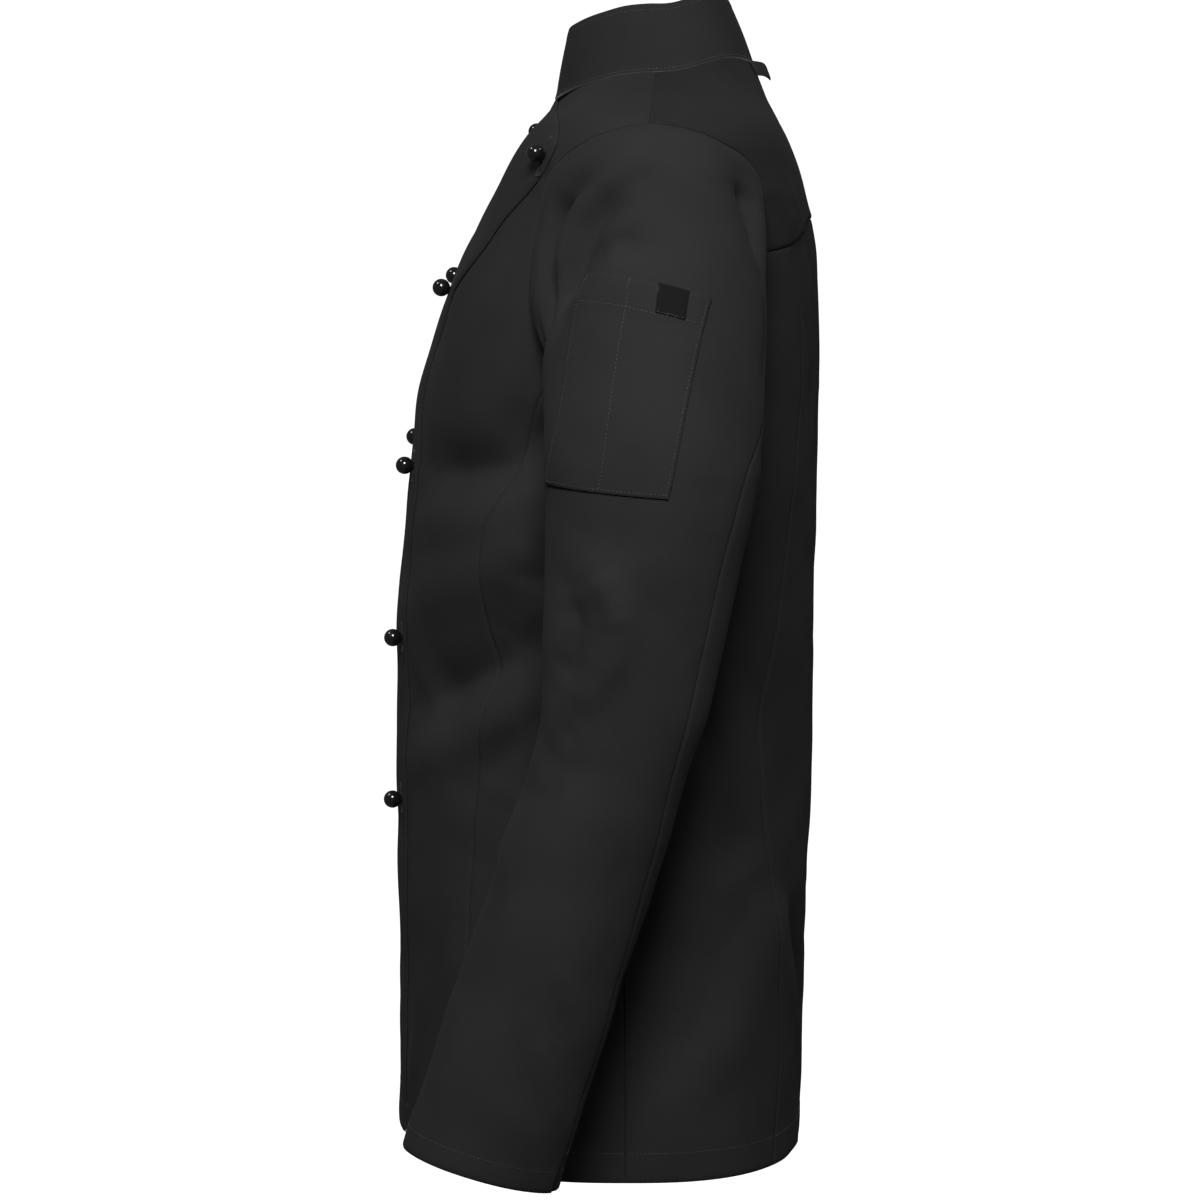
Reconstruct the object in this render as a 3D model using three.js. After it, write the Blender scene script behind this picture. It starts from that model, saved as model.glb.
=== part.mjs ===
// Chef jacket, long sleeved and double breasted, worn open at neck, hem and cuffs.
// Millimetres, +Z up, the front faces -Y and the wearer's left is +X.
// The origin is the middle of the neck seam, level with the side neck points.

import * as THREE from 'three';

// Driving sizes
const WALL = 1.5;            // twill with its turnings
const SEAM = 0.3;            // clearance between two pieces that are sewn together
const LAYER = 2.1;           // step from the under front to the front that laps over it
const YOKE_STEP = 1.0;       // how far the yoke's lower edge stands off the back
const ARMHOLE_LIFT = 0.3;    // the sleeve head sits this far outside the armhole edge
const NECK_SINK = { from: 655, wide: 60 };
const COLLAR_HEIGHT = { front: 44, back: 40 };
const COLLAR_GAP = 0.6;       // the collar stands this far above the neck edge
const COLLAR_WALL = 2.0;
const COLLAR_LEAN = { front: 7, side: 13, back: 16 };
const COLLAR_END = 2.5;      // degrees from centre front to each collar end
const COLLAR_ROUND = { reach: 18, drop: 18 };
const STUD = { ball: 5.6, shank: 2.6, shankLength: 0.3, gap: 0.65 };
const STUD_SIDES = 12;
const STUD_RINGS = 6;
const POCKET = { wall: 1.2, gap: 0.6, mouthSag: 5 };
const LABEL = { wall: 0.6, gap: 0.4 };
const LOOP = { width: 8.5, wall: 1.0, gap: 0.6, halfTurn: 24, below: 1.5, standOff: 6.1, drop: 1 };
const DEGREE = Math.PI / 180;

function table(columns, ...rows) {
  return rows.map((row) => Object.fromEntries(row.map((value, i) => [columns[i], value])));
}

// Sections of the body from hem to neck. up is the distance along the cloth from the hem;
// frontZ, sideZ and backZ are a section's heights, half its half width, frontY, sideY and backY
// its depths, frontFull and backFull how square it is, and lift its rise beside the nape.
const BODY = table(
  ['up', 'frontZ', 'sideZ', 'backZ', 'lift', 'half', 'frontY', 'sideY', 'backY', 'frontFull', 'backFull'],
  [0, -672, -681, -688, 0, 198, -166, -20, 94, 2.5, 2.5],
  [75, -598, -603, -610, 0, 194, -165.5, -20, 95, 2.5, 2.5],
  [175, -500, -502, -508, 0, 187, -166, -20, 99.5, 2.5, 2.5],
  [255, -422, -423, -427, 0, 182, -166.5, -20, 101.8, 2.5, 2.5],
  [335, -345, -344, -346, 0, 182, -165.7, -18, 102.7, 2.6, 2.5],
  [400, -285, -280, -279, 0, 186, -159, -16, 103.6, 2.8, 2.5],
  [470, -215, -212, -205, 0, 190, -153, -13, 104.3, 2.9, 2.6],
  [540, -150, -140, -137, 0, 195, -136, -10, 103, 2.7, 2.8],
  [590, -107, -78, -95, 0, 203, -117.5, -8, 98, 2.2, 2.9],
  [630, -74, -27, -64, 2, 206, -96.5, -6, 89.5, 2.0, 2.7],
  [655, -50, -15, -42, 4, 165, -81, -4, 80, 2.0, 2.4],
  [680, -30, -6, -21, 6, 112, -71.5, -2, 73, 2.0, 2.2],
  [705, -14.5, 2.5, 6.4, 7, 66, -63.7, -1, 63, 2.1, 2.1],
);
const NECK = 705;

// Seams and edges of the left half: turn is the angle around the body from centre front.
const FRONT_SEAM = table(['up', 'turn'],
  [0, 58.5], [190, 58], [280, 60.5], [307, 61.8], [350, 60.5], [395, 61], [420, 63.5], [445, 67], [485, 71], [512, 77]);
const SIDE_SEAM = table(['up', 'turn'], [0, 90], [487.5, 89]);
const BACK_SEAM = table(['up', 'turn'],
  [0, 124], [70, 128], [165, 124.5], [265, 121], [350, 125], [407, 128.5], [480, 130.7], [520, 128.5], [572.5, 122.5]);
const FRONT_EDGE = table(['up', 'turn'],
  [0, 29.5], [470, 30.5], [507, 31.5], [527, 33.5], [541, 34.6], [551, 36.8], [558, 41.3], [572, 50.5], [586, 57],
  [597, 63.3], [607, 68.5], [616, 71], [622, 71.8], [630, 71.2], [640, 69], [653, 63.5], [660, 58.5], [676, 46],
  [690, 29], [700, 13], [705, 4]);

// The armhole, from the front seam over the shoulder and down the back to the front seam again.
const ARMHOLE = table(['turn', 'up'],
  [77, 512], [72, 530], [69.5, 552], [69, 575], [69.3, 595], [71, 608], [75.5, 616], [82.5, 625.5],
  [90, 631], [96, 628], [102.5, 620], [107.5, 612.5], [110.5, 604], [111.5, 595], [111.8, 586], [111.7, 577],
  [111.5, 568], [109.5, 545], [106.5, 523], [102, 504], [96, 492],
  [89, 487.5], [85.5, 489.5], [81.8, 495], [79, 503]);
const ARM_TIP = 8;           // row of the shoulder point
const ARM_YOKE = 16;         // row where the yoke's lower edge starts
const ARM_PIT = 21;          // row where the side seam ends
const YOKE_EDGE = table(['turn', 'up'], [111.5, 568], [122.5, 572.5], [131, 583], [145, 590], [180, 593]);

// Columns and rows of each piece
const LOWER_ROWS = 20;
const SHOULDER_ROWS = 5;
const CAP_ROWS = 8;
const SLEEVE_ROWS = 19;
const BACK_COLUMNS = 12;
const SIDE_COLUMNS = 4;
const LAP_COLUMNS = 7;
const FRONT_COLUMNS = 5;

// Folds pressed into or raised from the body: from and to are (turn, up), in a soft-edged band.
const BODY_FOLDS = table(['turn1', 'up1', 'turn2', 'up2', 'width', 'rise'],
  [68, 446, 38, 452, 16, -4], [64, 425, 40, 424, 14, 2.5],
  [66, 346, 30, 290, 18, -4.5], [66, 322, 30, 262, 16, 3],
  [66, 250, 57, 200, 16, -3], [104, 300, 116, 180, 22, -5], [112, 330, 140, 200, 16, -3],
  [118, 180, 150, 60, 14, 3], [132, 170, 165, 40, 13, -3],
  [-68, 440, -38, 450, 16, -4], [-64, 420, -40, 421, 14, 2.5],
  [-66, 340, -34, 296, 18, -4], [-66, 316, -32, 270, 16, 2.5],
  [-104, 290, -118, 170, 22, -5], [-116, 160, -152, 50, 15, 3], [-130, 175, -160, 50, 13, -3]);
const MM_PER_DEGREE = 2.7;   // around the body, for the folds

// Sections of the sleeve below its head. down is the distance from the section at the armpit;
// x, y, z its middle, depth and width its half sizes, pitch how far its front is tipped up.
const SLEEVE = table(['down', 'x', 'y', 'z', 'depth', 'width', 'pitch'],
  [0, 250, -4, -232, 65, 52, 4],
  [81, 259, -13.3, -313, 56.5, 49, 8],
  [138, 264, -20.8, -369, 50.5, 46.5, 12],
  [176, 266, -28.6, -406, 46.5, 44.5, 15],
  [228, 268, -44.1, -456, 47.4, 43, 18],
  [296, 270, -65, -520.4, 47, 41.5, 18.5],
  [370, 272, -87.6, -591, 48.3, 40.5, 18],
  [436, 273, -107.9, -654, 49, 40, 16]);
const SLEEVE_LENGTH = 436;
const HEAD = 200;            // the sleeve head spans down from -HEAD to 0

// side runs around the sleeve from 0 inside its front over the outside to 1 at its back,
// and on across the inside to 2; the front seam is side 0, the back seam follows this track.
const SIDE_ANGLE = { front: -30, back: 188 };
const SLEEVE_SEAM = table(['down', 'side'],
  [-200, 1], [-120, 0.985], [-57, 0.94], [2, 0.82], [32, 0.805], [96, 0.785], [133, 0.783],
  [163, 0.791], [202, 0.806], [248, 0.835], [287, 0.86], [436, 0.88]);
const SLEEVE_FOLDS = table(['side1', 'down1', 'side2', 'down2', 'width', 'rise'],
  [0.356, -152, 0.213, -135, 7, -6], [0.45, -140, 0.34, -110, 7, -6], [0.663, -165, 0.75, -146, 7, -3],
  [0.10, -150, 0.07, -60, 13, -7.5],
  [0.2, 85, 0.27, 110, 13, -4], [0.349, 73, 0.398, 92, 9, 2.5], [0.398, 92, 0.25, 160, 11, 3],
  [0.09, 215, 0.415, 200, 14, -2], [0.577, 290, 0.756, 350, 12, 2], [0.496, 340, 0.70, 400, 12, -2]);
const MM_PER_SIDE = 200;     // around the outer half of the sleeve, for the folds

const STUDS = table(['name', 'turn', 'up'],
  ['left_1', 69, 615.5], ['left_2', 31, 552], ['left_3', 27, 438], ['left_4', 27.5, 324], ['left_5', 27, 217],
  ['right_1', -64.5, 625], ['right_2', -35, 552.5], ['right_3', -26.5, 445.5], ['right_4', -28.5, 329],
  ['right_5', -28.5, 223]);

// Patch pocket on the left sleeve and the plain label on its band, by their corners on the sleeve
// in the order bottom front, bottom back, top back, top front.
const POCKET_CORNERS = table(['side', 'down'], [0.195, 14], [0.592, 14], [0.638, -87.5], [0.388, -97.5]);
const LABEL_CORNERS = table(['side', 'down'], [0.529, -74], [0.59, -73], [0.592, -86], [0.531, -87]);
const POCKET_GRID = { columns: 18, rows: 12 };
const LABEL_GRID = { columns: 4, rows: 2 };

// Smooth curve through one column of a table that never overshoots its rows.
function track(rows, key, name) {
  const at = rows.map((row) => row[key]);
  const value = rows.map((row) => row[name]);
  const slope = at.slice(1).map((x, i) => (value[i + 1] - value[i]) / (x - at[i]));
  const tangent = value.map((_, i) => {
    if (i === 0) return slope[0];
    if (i === slope.length) return slope[i - 1];
    const product = slope[i - 1] * slope[i];
    return product > 0 ? (2 * product) / (slope[i - 1] + slope[i]) : 0;
  });
  return (wanted) => {
    const x = THREE.MathUtils.clamp(wanted, at[0], at[at.length - 1]);
    let i = 0;
    while (i < at.length - 2 && x > at[i + 1]) i += 1;
    const step = at[i + 1] - at[i];
    const t = (x - at[i]) / step;
    const s = 1 - t;
    return value[i] * (1 + 2 * t) * s * s + tangent[i] * step * t * s * s
      + value[i + 1] * t * t * (3 - 2 * t) - tangent[i + 1] * step * t * t * s;
  };
}

function tracks(rows, key) {
  const names = Object.keys(rows[0]).filter((name) => name !== key);
  const curves = Object.fromEntries(names.map((name) => [name, track(rows, key, name)]));
  return (x) => Object.fromEntries(names.map((name) => [name, curves[name](x)]));
}

const bodySection = tracks(BODY, 'up');
const sleeveSection = tracks(SLEEVE, 'down');
const frontSeam = track(FRONT_SEAM, 'up', 'turn');
const sideSeam = track(SIDE_SEAM, 'up', 'turn');
const backSeam = track(BACK_SEAM, 'up', 'turn');
const frontEdge = track(FRONT_EDGE, 'up', 'turn');
const sleeveSeam = track(SLEEVE_SEAM, 'down', 'side');
const yokeEdge = track(YOKE_EDGE, 'turn', 'up');

// Height of all folds at a place given in millimetres on the flattened cloth.
function foldHeight(folds, x, y, place) {
  let height = 0;
  for (const fold of folds) {
    const [x1, y1, x2, y2] = place(fold);
    const run = (x2 - x1) ** 2 + (y2 - y1) ** 2;
    const t = THREE.MathUtils.clamp(((x - x1) * (x2 - x1) + (y - y1) * (y2 - y1)) / run, 0, 1);
    const away = Math.hypot(x - x1 - t * (x2 - x1), y - y1 - t * (y2 - y1));
    height += fold.rise * Math.exp(-((away / fold.width) ** 2));
  }
  return height;
}

function bodyPoint(turn, up) {
  const section = bodySection(up);
  const side = Math.sin(turn * DEGREE);
  const ahead = Math.cos(turn * DEGREE);
  const depth = ahead > 0 ? section.sideY - section.frontY : section.backY - section.sideY;
  const full = ahead > 0 ? section.frontFull : section.backFull;
  const reach = (Math.abs(side / section.half) ** full + Math.abs(ahead / depth) ** full) ** (-1 / full);
  const level = ahead > 0 ? section.frontZ : section.backZ;
  const nape = ahead < 0 ? 4 * section.lift * side * side * ahead * ahead : 0;
  const z = level * ahead * ahead + section.sideZ * side * side + nape;
  return new THREE.Vector3(reach * side, section.sideY - reach * ahead, z);
}

// Normal of a surface given by two numbers, from small steps along both.
function normalOf(surface, a, b, stepA, stepB) {
  const alongA = surface(a + stepA, b).sub(surface(a - stepA, b));
  const alongB = surface(a, b + stepB).sub(surface(a, b - stepB));
  return alongA.cross(alongB).normalize();
}

function body(turn, up, out) {
  const placeFold = (fold) => [fold.turn1 * MM_PER_DEGREE, fold.up1, fold.turn2 * MM_PER_DEGREE, fold.up2];
  const wrapped = turn > 180 ? turn - 360 : turn;
  const height = foldHeight(BODY_FOLDS, wrapped * MM_PER_DEGREE, up, placeFold);
  const normal = normalOf(bodyPoint, turn, Math.min(up, NECK - 1), 0.5, 0.5);
  return bodyPoint(turn, up).addScaledVector(normal, height + out);
}

// The armhole edge as one closed curve; row counts along its table.
const armholeCurve = new THREE.CatmullRomCurve3(
  ARMHOLE.map((row) => new THREE.Vector3(row.turn, row.up, 0)), true, 'centripetal');

function armhole(row) {
  const place = armholeCurve.getPoint(THREE.MathUtils.euclideanModulo(row / ARMHOLE.length, 1));
  return body(place.x, place.y, ARMHOLE_LIFT);
}

function sleeveTube(side, down) {
  const section = sleeveSection(down);
  const outer = SIDE_ANGLE.back - SIDE_ANGLE.front;
  const angle = side <= 1
    ? SIDE_ANGLE.front + side * outer
    : SIDE_ANGLE.back + (side - 1) * (360 - outer);
  const ahead = section.depth * Math.cos(angle * DEGREE);
  const outside = section.width * Math.sin(angle * DEGREE);
  const pitch = section.pitch * DEGREE;
  return new THREE.Vector3(
    section.x + outside, section.y - ahead * Math.cos(pitch), section.z + ahead * Math.sin(pitch));
}

function sleevePoint(side, down) {
  if (down >= 0) return sleeveTube(side, down);
  const row = side <= 1 ? side * ARM_YOKE : ARM_YOKE + (side - 1) * (ARMHOLE.length - ARM_YOKE);
  const around = ((row - ARM_TIP) / ARMHOLE.length) * 2 * Math.PI;
  const high = Math.cos(around);
  const start = armhole(row);
  const end = sleeveTube(side, 0);
  const leave = new THREE.Vector3(75 + 35 * high, 22 * Math.sin(around), -25 + 15 * high);
  const arrive = new THREE.Vector3(0.12, -0.06, -1).multiplyScalar(120 + 90 * high);
  const t = 1 + down / HEAD;
  const s = 1 - t;
  return start.multiplyScalar((1 + 2 * t) * s * s)
    .addScaledVector(leave, t * s * s)
    .addScaledVector(end, t * t * (3 - 2 * t))
    .addScaledVector(arrive, -t * t * s);
}

function sleeve(side, down, out) {
  const placeFold = (fold) => [fold.side1 * MM_PER_SIDE, fold.down1, fold.side2 * MM_PER_SIDE, fold.down2];
  const height = foldHeight(SLEEVE_FOLDS, side * MM_PER_SIDE, down, placeFold);
  const inside = THREE.MathUtils.clamp(down, 1 - HEAD, SLEEVE_LENGTH - 1);
  const normal = normalOf(sleevePoint, side, inside, 0.004, -0.8);
  return sleevePoint(side, down).addScaledVector(normal, height + out);
}

// Closed wall between an outer and an inner grid of points with the same rows and columns.
function wallGeometry(outer, inner) {
  const rows = outer.length;
  const columns = outer[0].length;
  const positions = [...outer.flat(), ...inner.flat()].flatMap((point) => point.toArray());
  const index = (layer, j, i) => layer * rows * columns + j * columns + i;
  const faces = [];
  const quad = (a, b, c, d) => faces.push(a, b, c, a, c, d);
  for (let j = 0; j < rows - 1; j += 1) {
    for (let i = 0; i < columns - 1; i += 1) {
      quad(index(0, j, i), index(0, j, i + 1), index(0, j + 1, i + 1), index(0, j + 1, i));
      quad(index(1, j, i), index(1, j + 1, i), index(1, j + 1, i + 1), index(1, j, i + 1));
    }
  }
  for (let j = 0; j < rows - 1; j += 1) {
    quad(index(0, j, 0), index(0, j + 1, 0), index(1, j + 1, 0), index(1, j, 0));
    const last = columns - 1;
    quad(index(0, j + 1, last), index(0, j, last), index(1, j, last), index(1, j + 1, last));
  }
  for (let i = 0; i < columns - 1; i += 1) {
    quad(index(0, 0, i + 1), index(0, 0, i), index(1, 0, i), index(1, 0, i + 1));
    const last = rows - 1;
    quad(index(0, last, i), index(0, last, i + 1), index(1, last, i + 1), index(1, last, i));
  }
  const geometry = new THREE.BufferGeometry();
  geometry.setAttribute('position', new THREE.Float32BufferAttribute(positions, 3));
  geometry.setIndex(faces);
  geometry.computeVertexNormals();
  return geometry;
}

// Pulls the four edges of a grid back by half a seam.
function trim(points) {
  const pull = (edge, next) => edge.addScaledVector(next.clone().sub(edge).normalize(), SEAM / 2);
  const lastRow = points.length - 1;
  const lastColumn = points[0].length - 1;
  for (const row of points) {
    pull(row[0], row[1]);
    pull(row[lastColumn], row[lastColumn - 1]);
  }
  for (let i = 0; i <= lastColumn; i += 1) {
    pull(points[0][i], points[1][i]);
    pull(points[lastRow][i], points[lastRow - 1][i]);
  }
  return points;
}

// A piece of cloth: places is a grid of surface coordinates, out its distance off the surface.
function clothGeometry(surface, places, wall, out, mirrored = false) {
  const layer = (inward) => trim(places.map((row) => row.map(([a, b]) => {
    const point = surface(a, b, out(a, b) - inward);
    if (mirrored) point.x = -point.x;
    return point;
  })));
  const outer = layer(0);
  const inner = layer(wall);
  if (mirrored) [outer, inner].forEach((grid) => grid.forEach((row) => row.reverse()));
  return wallGeometry(outer, inner);
}

const flush = () => 0;

// Grid of places between four edges, each a list of places with equal counts on facing edges.
function patch(bottom, top, left, right) {
  const lengths = (edge) => {
    const total = [0];
    for (let i = 1; i < edge.length; i += 1) {
      const run = Math.hypot((edge[i][0] - edge[i - 1][0]) * MM_PER_DEGREE, edge[i][1] - edge[i - 1][1]);
      total.push(total[i - 1] + run);
    }
    return total.map((value) => value / total[total.length - 1]);
  };
  const [ups, upsRight, acrosses, acrossesTop] = [left, right, bottom, top].map(lengths);
  return left.map((_, j) => bottom.map((__, i) => [0, 1].map((axis) => {
    const t = (ups[j] + upsRight[j]) / 2;
    const s = (acrosses[i] + acrossesTop[i]) / 2;
    const corners = (1 - s) * (1 - t) * bottom[0][axis] + s * (1 - t) * bottom[bottom.length - 1][axis]
      + (1 - s) * t * top[0][axis] + s * t * top[top.length - 1][axis];
    return (1 - s) * left[j][axis] + s * right[j][axis]
      + (1 - t) * bottom[i][axis] + t * top[i][axis] - corners;
  })));
}

const spread = (count, from, to) => Array.from({ length: count + 1 }, (_, i) => from + ((to - from) * i) / count);
const armPlaces = (from, to) => spread(to - from, from, to)
  .map((row) => ARMHOLE[row % ARMHOLE.length])
  .map((row) => [row.turn, row.up]);
const hem = (from, to, columns) => spread(columns, from, to).map((turn) => [turn, 0]);
const mirrorTurn = (places) => places.map((row) => row.map(([turn, up]) => [-turn, up]).reverse());

// Rows of the fronts: up the front seam, then the front of the armhole, then the shoulder seam.
const shoulderUps = spread(SHOULDER_ROWS, ARMHOLE[ARM_TIP].up, NECK).slice(1);
const frontRows = [
  ...spread(LOWER_ROWS, 0, ARMHOLE[0].up).map((up) => ({ up, side: frontSeam(up) })),
  ...armPlaces(1, ARM_TIP).map(([turn, up]) => ({ up, side: turn })),
  ...shoulderUps.map((up) => ({ up, side: ARMHOLE[ARM_TIP].turn })),
];

// One row of places through the given turns with so many columns between each pair.
function stations(up, turns, counts) {
  const row = [[turns[0], up]];
  counts.forEach((count, k) => {
    spread(count, turns[k], turns[k + 1]).slice(1).forEach((turn) => row.push([turn, up]));
  });
  return row;
}

const ease = (t) => THREE.MathUtils.smoothstep(t, 0, 1);

// The lap gains its step from side to side, so both fronts meet their seams flush,
// and both sink at the middle of the neck, where the collar stands on them.
function lapStep(turn, up) {
  const sink = ease((up - NECK_SINK.from) / (NECK - NECK_SINK.from)) * ease((NECK_SINK.wide - Math.abs(turn)) / 40);
  return LAYER * ease((turn + 55) / 110) * (1 - sink);
}

function frontRight() {
  const places = frontRows.map(({ up, side }) => {
    const edge = frontEdge(up);
    return stations(up, [-side, -edge, edge], [FRONT_COLUMNS, LAP_COLUMNS]);
  });
  return clothGeometry(body, places, WALL, lapStep);
}

function frontLeft() {
  const places = frontRows.map(({ up, side }) => {
    const edge = frontEdge(up);
    return stations(up, [-edge, edge, side], [LAP_COLUMNS, FRONT_COLUMNS]);
  });
  return clothGeometry(body, places, WALL, (turn, up) => lapStep(turn, up) - LAYER);
}

function sideFrontPlaces() {
  const left = spread(LOWER_ROWS, 0, ARMHOLE[0].up).map((up) => [frontSeam(up), up]);
  const right = spread(LOWER_ROWS, 0, ARMHOLE[ARM_PIT].up).map((up) => [sideSeam(up), up]);
  const top = armPlaces(ARM_PIT, ARMHOLE.length).reverse();
  return patch(hem(frontSeam(0), sideSeam(0), SIDE_COLUMNS), top, left, right);
}

function sideBackPlaces() {
  const left = [
    ...spread(LOWER_ROWS, 0, ARMHOLE[ARM_PIT].up).map((up) => [sideSeam(up), up]),
    ...armPlaces(ARM_YOKE, ARM_PIT - 1).reverse(),
  ];
  const topTurn = BACK_SEAM[BACK_SEAM.length - 1].turn;
  const top = spread(SIDE_COLUMNS, ARMHOLE[ARM_YOKE].turn, topTurn).map((turn) => [turn, yokeEdge(turn)]);
  const right = spread(left.length - 1, 0, yokeEdge(topTurn)).map((up) => [backSeam(up), up]);
  return patch(hem(sideSeam(0), backSeam(0), SIDE_COLUMNS), top, left, right);
}

function backCentre() {
  const rows = LOWER_ROWS + ARM_PIT - ARM_YOKE;
  const topTurn = BACK_SEAM[BACK_SEAM.length - 1].turn;
  const left = spread(rows, 0, yokeEdge(topTurn)).map((up) => [backSeam(up), up]);
  const right = left.map(([turn, up]) => [360 - turn, up]);
  const top = spread(BACK_COLUMNS, topTurn, 360 - topTurn)
    .map((turn) => [turn, yokeEdge(turn > 180 ? 360 - turn : turn)]);
  const places = patch(hem(backSeam(0), 360 - backSeam(0), BACK_COLUMNS), top, left, right);
  return clothGeometry(body, places, WALL, flush);
}

function yoke() {
  const topTurn = BACK_SEAM[BACK_SEAM.length - 1].turn;
  const armTurn = ARMHOLE[ARM_YOKE].turn;
  const turns = [
    ...spread(SIDE_COLUMNS, armTurn, topTurn),
    ...spread(BACK_COLUMNS, topTurn, 360 - topTurn).slice(1),
    ...spread(SIDE_COLUMNS, 360 - topTurn, 360 - armTurn).slice(1),
  ];
  const bottom = turns.map((turn) => [turn, yokeEdge(turn > 180 ? 360 - turn : turn)]);
  const tip = ARMHOLE[ARM_TIP].turn;
  const left = [
    ...armPlaces(ARM_TIP, ARM_YOKE).reverse(),
    ...shoulderUps.map((up) => [tip, up]),
  ];
  const right = left.map(([turn, up]) => [360 - turn, up]);
  const top = spread(turns.length - 1, tip, 360 - tip).map((turn) => [turn, NECK]);
  const places = patch(bottom, top, left, right);
  const lowest = new Map(places[0].map(([turn, up]) => [turn, up]));
  const stand = (turn, up) => {
    const edge = lowest.get(turn) ?? yokeEdge(THREE.MathUtils.clamp(turn > 180 ? 360 - turn : turn, armTurn, 180));
    return YOKE_STEP * Math.exp(-Math.max(0, up - edge) / 14);
  };
  return clothGeometry(body, places, WALL, stand);
}

// Sleeve rows run from the cuff up to the armhole.
const sleeveDowns = [
  ...spread(SLEEVE_ROWS, SLEEVE_LENGTH, 0),
  ...spread(CAP_ROWS, 0, -HEAD).slice(1),
];

const topPlaces = () => sleeveDowns.map((down) => (
  spread(ARM_YOKE, 0, sleeveSeam(down)).map((side) => [side, down])));
const underPlaces = () => sleeveDowns.map((down) => (
  spread(ARMHOLE.length - ARM_YOKE, sleeveSeam(down), 2).map((side) => [side, down])));

// A patch that lies on the left sleeve between four corners; its top edge hangs down by sag in
// the middle, so that it looks straight across the round of the arm.
function sleevePatch(corners, grid, wall, gap, sag) {
  const [bottomFront, bottomBack, topBack, topFront] = corners;
  const mix = (name, s, t) => THREE.MathUtils.lerp(
    THREE.MathUtils.lerp(bottomFront[name], bottomBack[name], s),
    THREE.MathUtils.lerp(topFront[name], topBack[name], s), t);
  const places = spread(grid.rows, 0, 1).map((t) => (
    spread(grid.columns, 0, 1).map((s) => [
      mix('side', s, t), mix('down', s, t) + sag * t * Math.sin(Math.PI * s)])));
  return clothGeometry(sleeve, places, wall, () => gap + wall);
}

// Stand collar: a band that leans in from the neck seam, with rounded front corners.
function collar() {
  const columns = 44;
  const levels = [0, 0.35, 0.7, 1];
  const turns = spread(columns, COLLAR_END, 360 - COLLAR_END);
  const grid = (inward) => levels.map((level) => turns.map((turn) => {
    const ahead = Math.cos(turn * DEGREE);
    const side = Math.abs(Math.sin(turn * DEGREE));
    const base = body(turn, NECK, 0);
    const out = new THREE.Vector3(base.x, base.y + 1, 0).normalize();
    const front = Math.max(0, ahead) ** 2;
    const back = Math.max(0, -ahead) ** 2;
    const lean = COLLAR_LEAN.front * front + COLLAR_LEAN.side * side * side + COLLAR_LEAN.back * back;
    const tall = COLLAR_HEIGHT.back + (COLLAR_HEIGHT.front - COLLAR_HEIGHT.back) * (1 + ahead) / 2;
    const fromEnd = Math.abs(base.x) / COLLAR_ROUND.reach;
    const corner = ahead > 0 ? COLLAR_ROUND.drop * Math.max(0, 1 - fromEnd) ** 2 : 0;
    const height = (tall - corner) * level;
    base.z += COLLAR_GAP + height;
    return base.addScaledVector(out, -lean * level - inward);
  }));
  return wallGeometry(grid(0), grid(COLLAR_WALL));
}

// Hanging loop: a flat tape that bows out from the yoke just below the neck seam.
function lockerLoop() {
  const steps = 14;
  const grid = (inward) => [0, 1].map((edge) => spread(steps, 1, -1).map((t) => {
    const bow = 1 - t ** 4;
    const turn = 180 - LOOP.halfTurn * t;
    const up = NECK - LOOP.below - LOOP.width * (1 - edge);
    const point = body(turn, up, LOOP.gap + LOOP.wall + LOOP.standOff * bow - inward);
    point.z -= LOOP.drop * bow;
    return point;
  }));
  return wallGeometry(grid(0), grid(LOOP.wall));
}

// Ball stud on a short shank, its foot at the origin and its axis along +Z.
function studGeometry() {
  const { ball, shank, shankLength } = STUD;
  const middle = shankLength + Math.sqrt(ball * ball - shank * shank);
  const start = Math.asin(shank / ball);
  const profile = [new THREE.Vector2(0, 0), new THREE.Vector2(shank, 0)];
  spread(STUD_RINGS, start, Math.PI).forEach((angle) => {
    profile.push(new THREE.Vector2(ball * Math.sin(angle), middle - ball * Math.cos(angle)));
  });
  profile[profile.length - 1].x = 0;
  const geometry = new THREE.LatheGeometry(profile, STUD_SIDES);
  geometry.rotateX(Math.PI / 2);
  return geometry;
}

const cloth = () => new THREE.MeshStandardMaterial({ color: 0x1b1b1c, roughness: 0.88, metalness: 0 });
const gloss = () => new THREE.MeshStandardMaterial({ color: 0x060607, roughness: 0.12, metalness: 0 });

const jacket = new THREE.Group();

function add(name, geometry, material) {
  const mesh = new THREE.Mesh(geometry, material);
  mesh.name = name;
  jacket.add(mesh);
  return mesh;
}

add('front_right', frontRight(), cloth());
add('front_left', frontLeft(), cloth());
add('side_front_left', clothGeometry(body, sideFrontPlaces(), WALL, flush), cloth());
add('side_front_right', clothGeometry(body, mirrorTurn(sideFrontPlaces()), WALL, flush), cloth());
add('side_back_left', clothGeometry(body, sideBackPlaces(), WALL, flush), cloth());
add('side_back_right', clothGeometry(body, mirrorTurn(sideBackPlaces()), WALL, flush), cloth());
add('back_centre', backCentre(), cloth());
add('yoke', yoke(), cloth());
add('collar', collar(), cloth());
add('locker_loop', lockerLoop(), cloth());

for (const [sideName, mirrored] of [['left', false], ['right', true]]) {
  add(`sleeve_${sideName}_top`, clothGeometry(sleeve, topPlaces(), WALL, flush, mirrored), cloth());
  add(`sleeve_${sideName}_under`, clothGeometry(sleeve, underPlaces(), WALL, flush, mirrored), cloth());
}
const labelGap = POCKET.gap + POCKET.wall + LABEL.gap;
add('sleeve_pocket', sleevePatch(POCKET_CORNERS, POCKET_GRID, POCKET.wall, POCKET.gap, POCKET.mouthSag), cloth());
add('pocket_label', sleevePatch(LABEL_CORNERS, LABEL_GRID, LABEL.wall, labelGap, 0), cloth());

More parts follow.
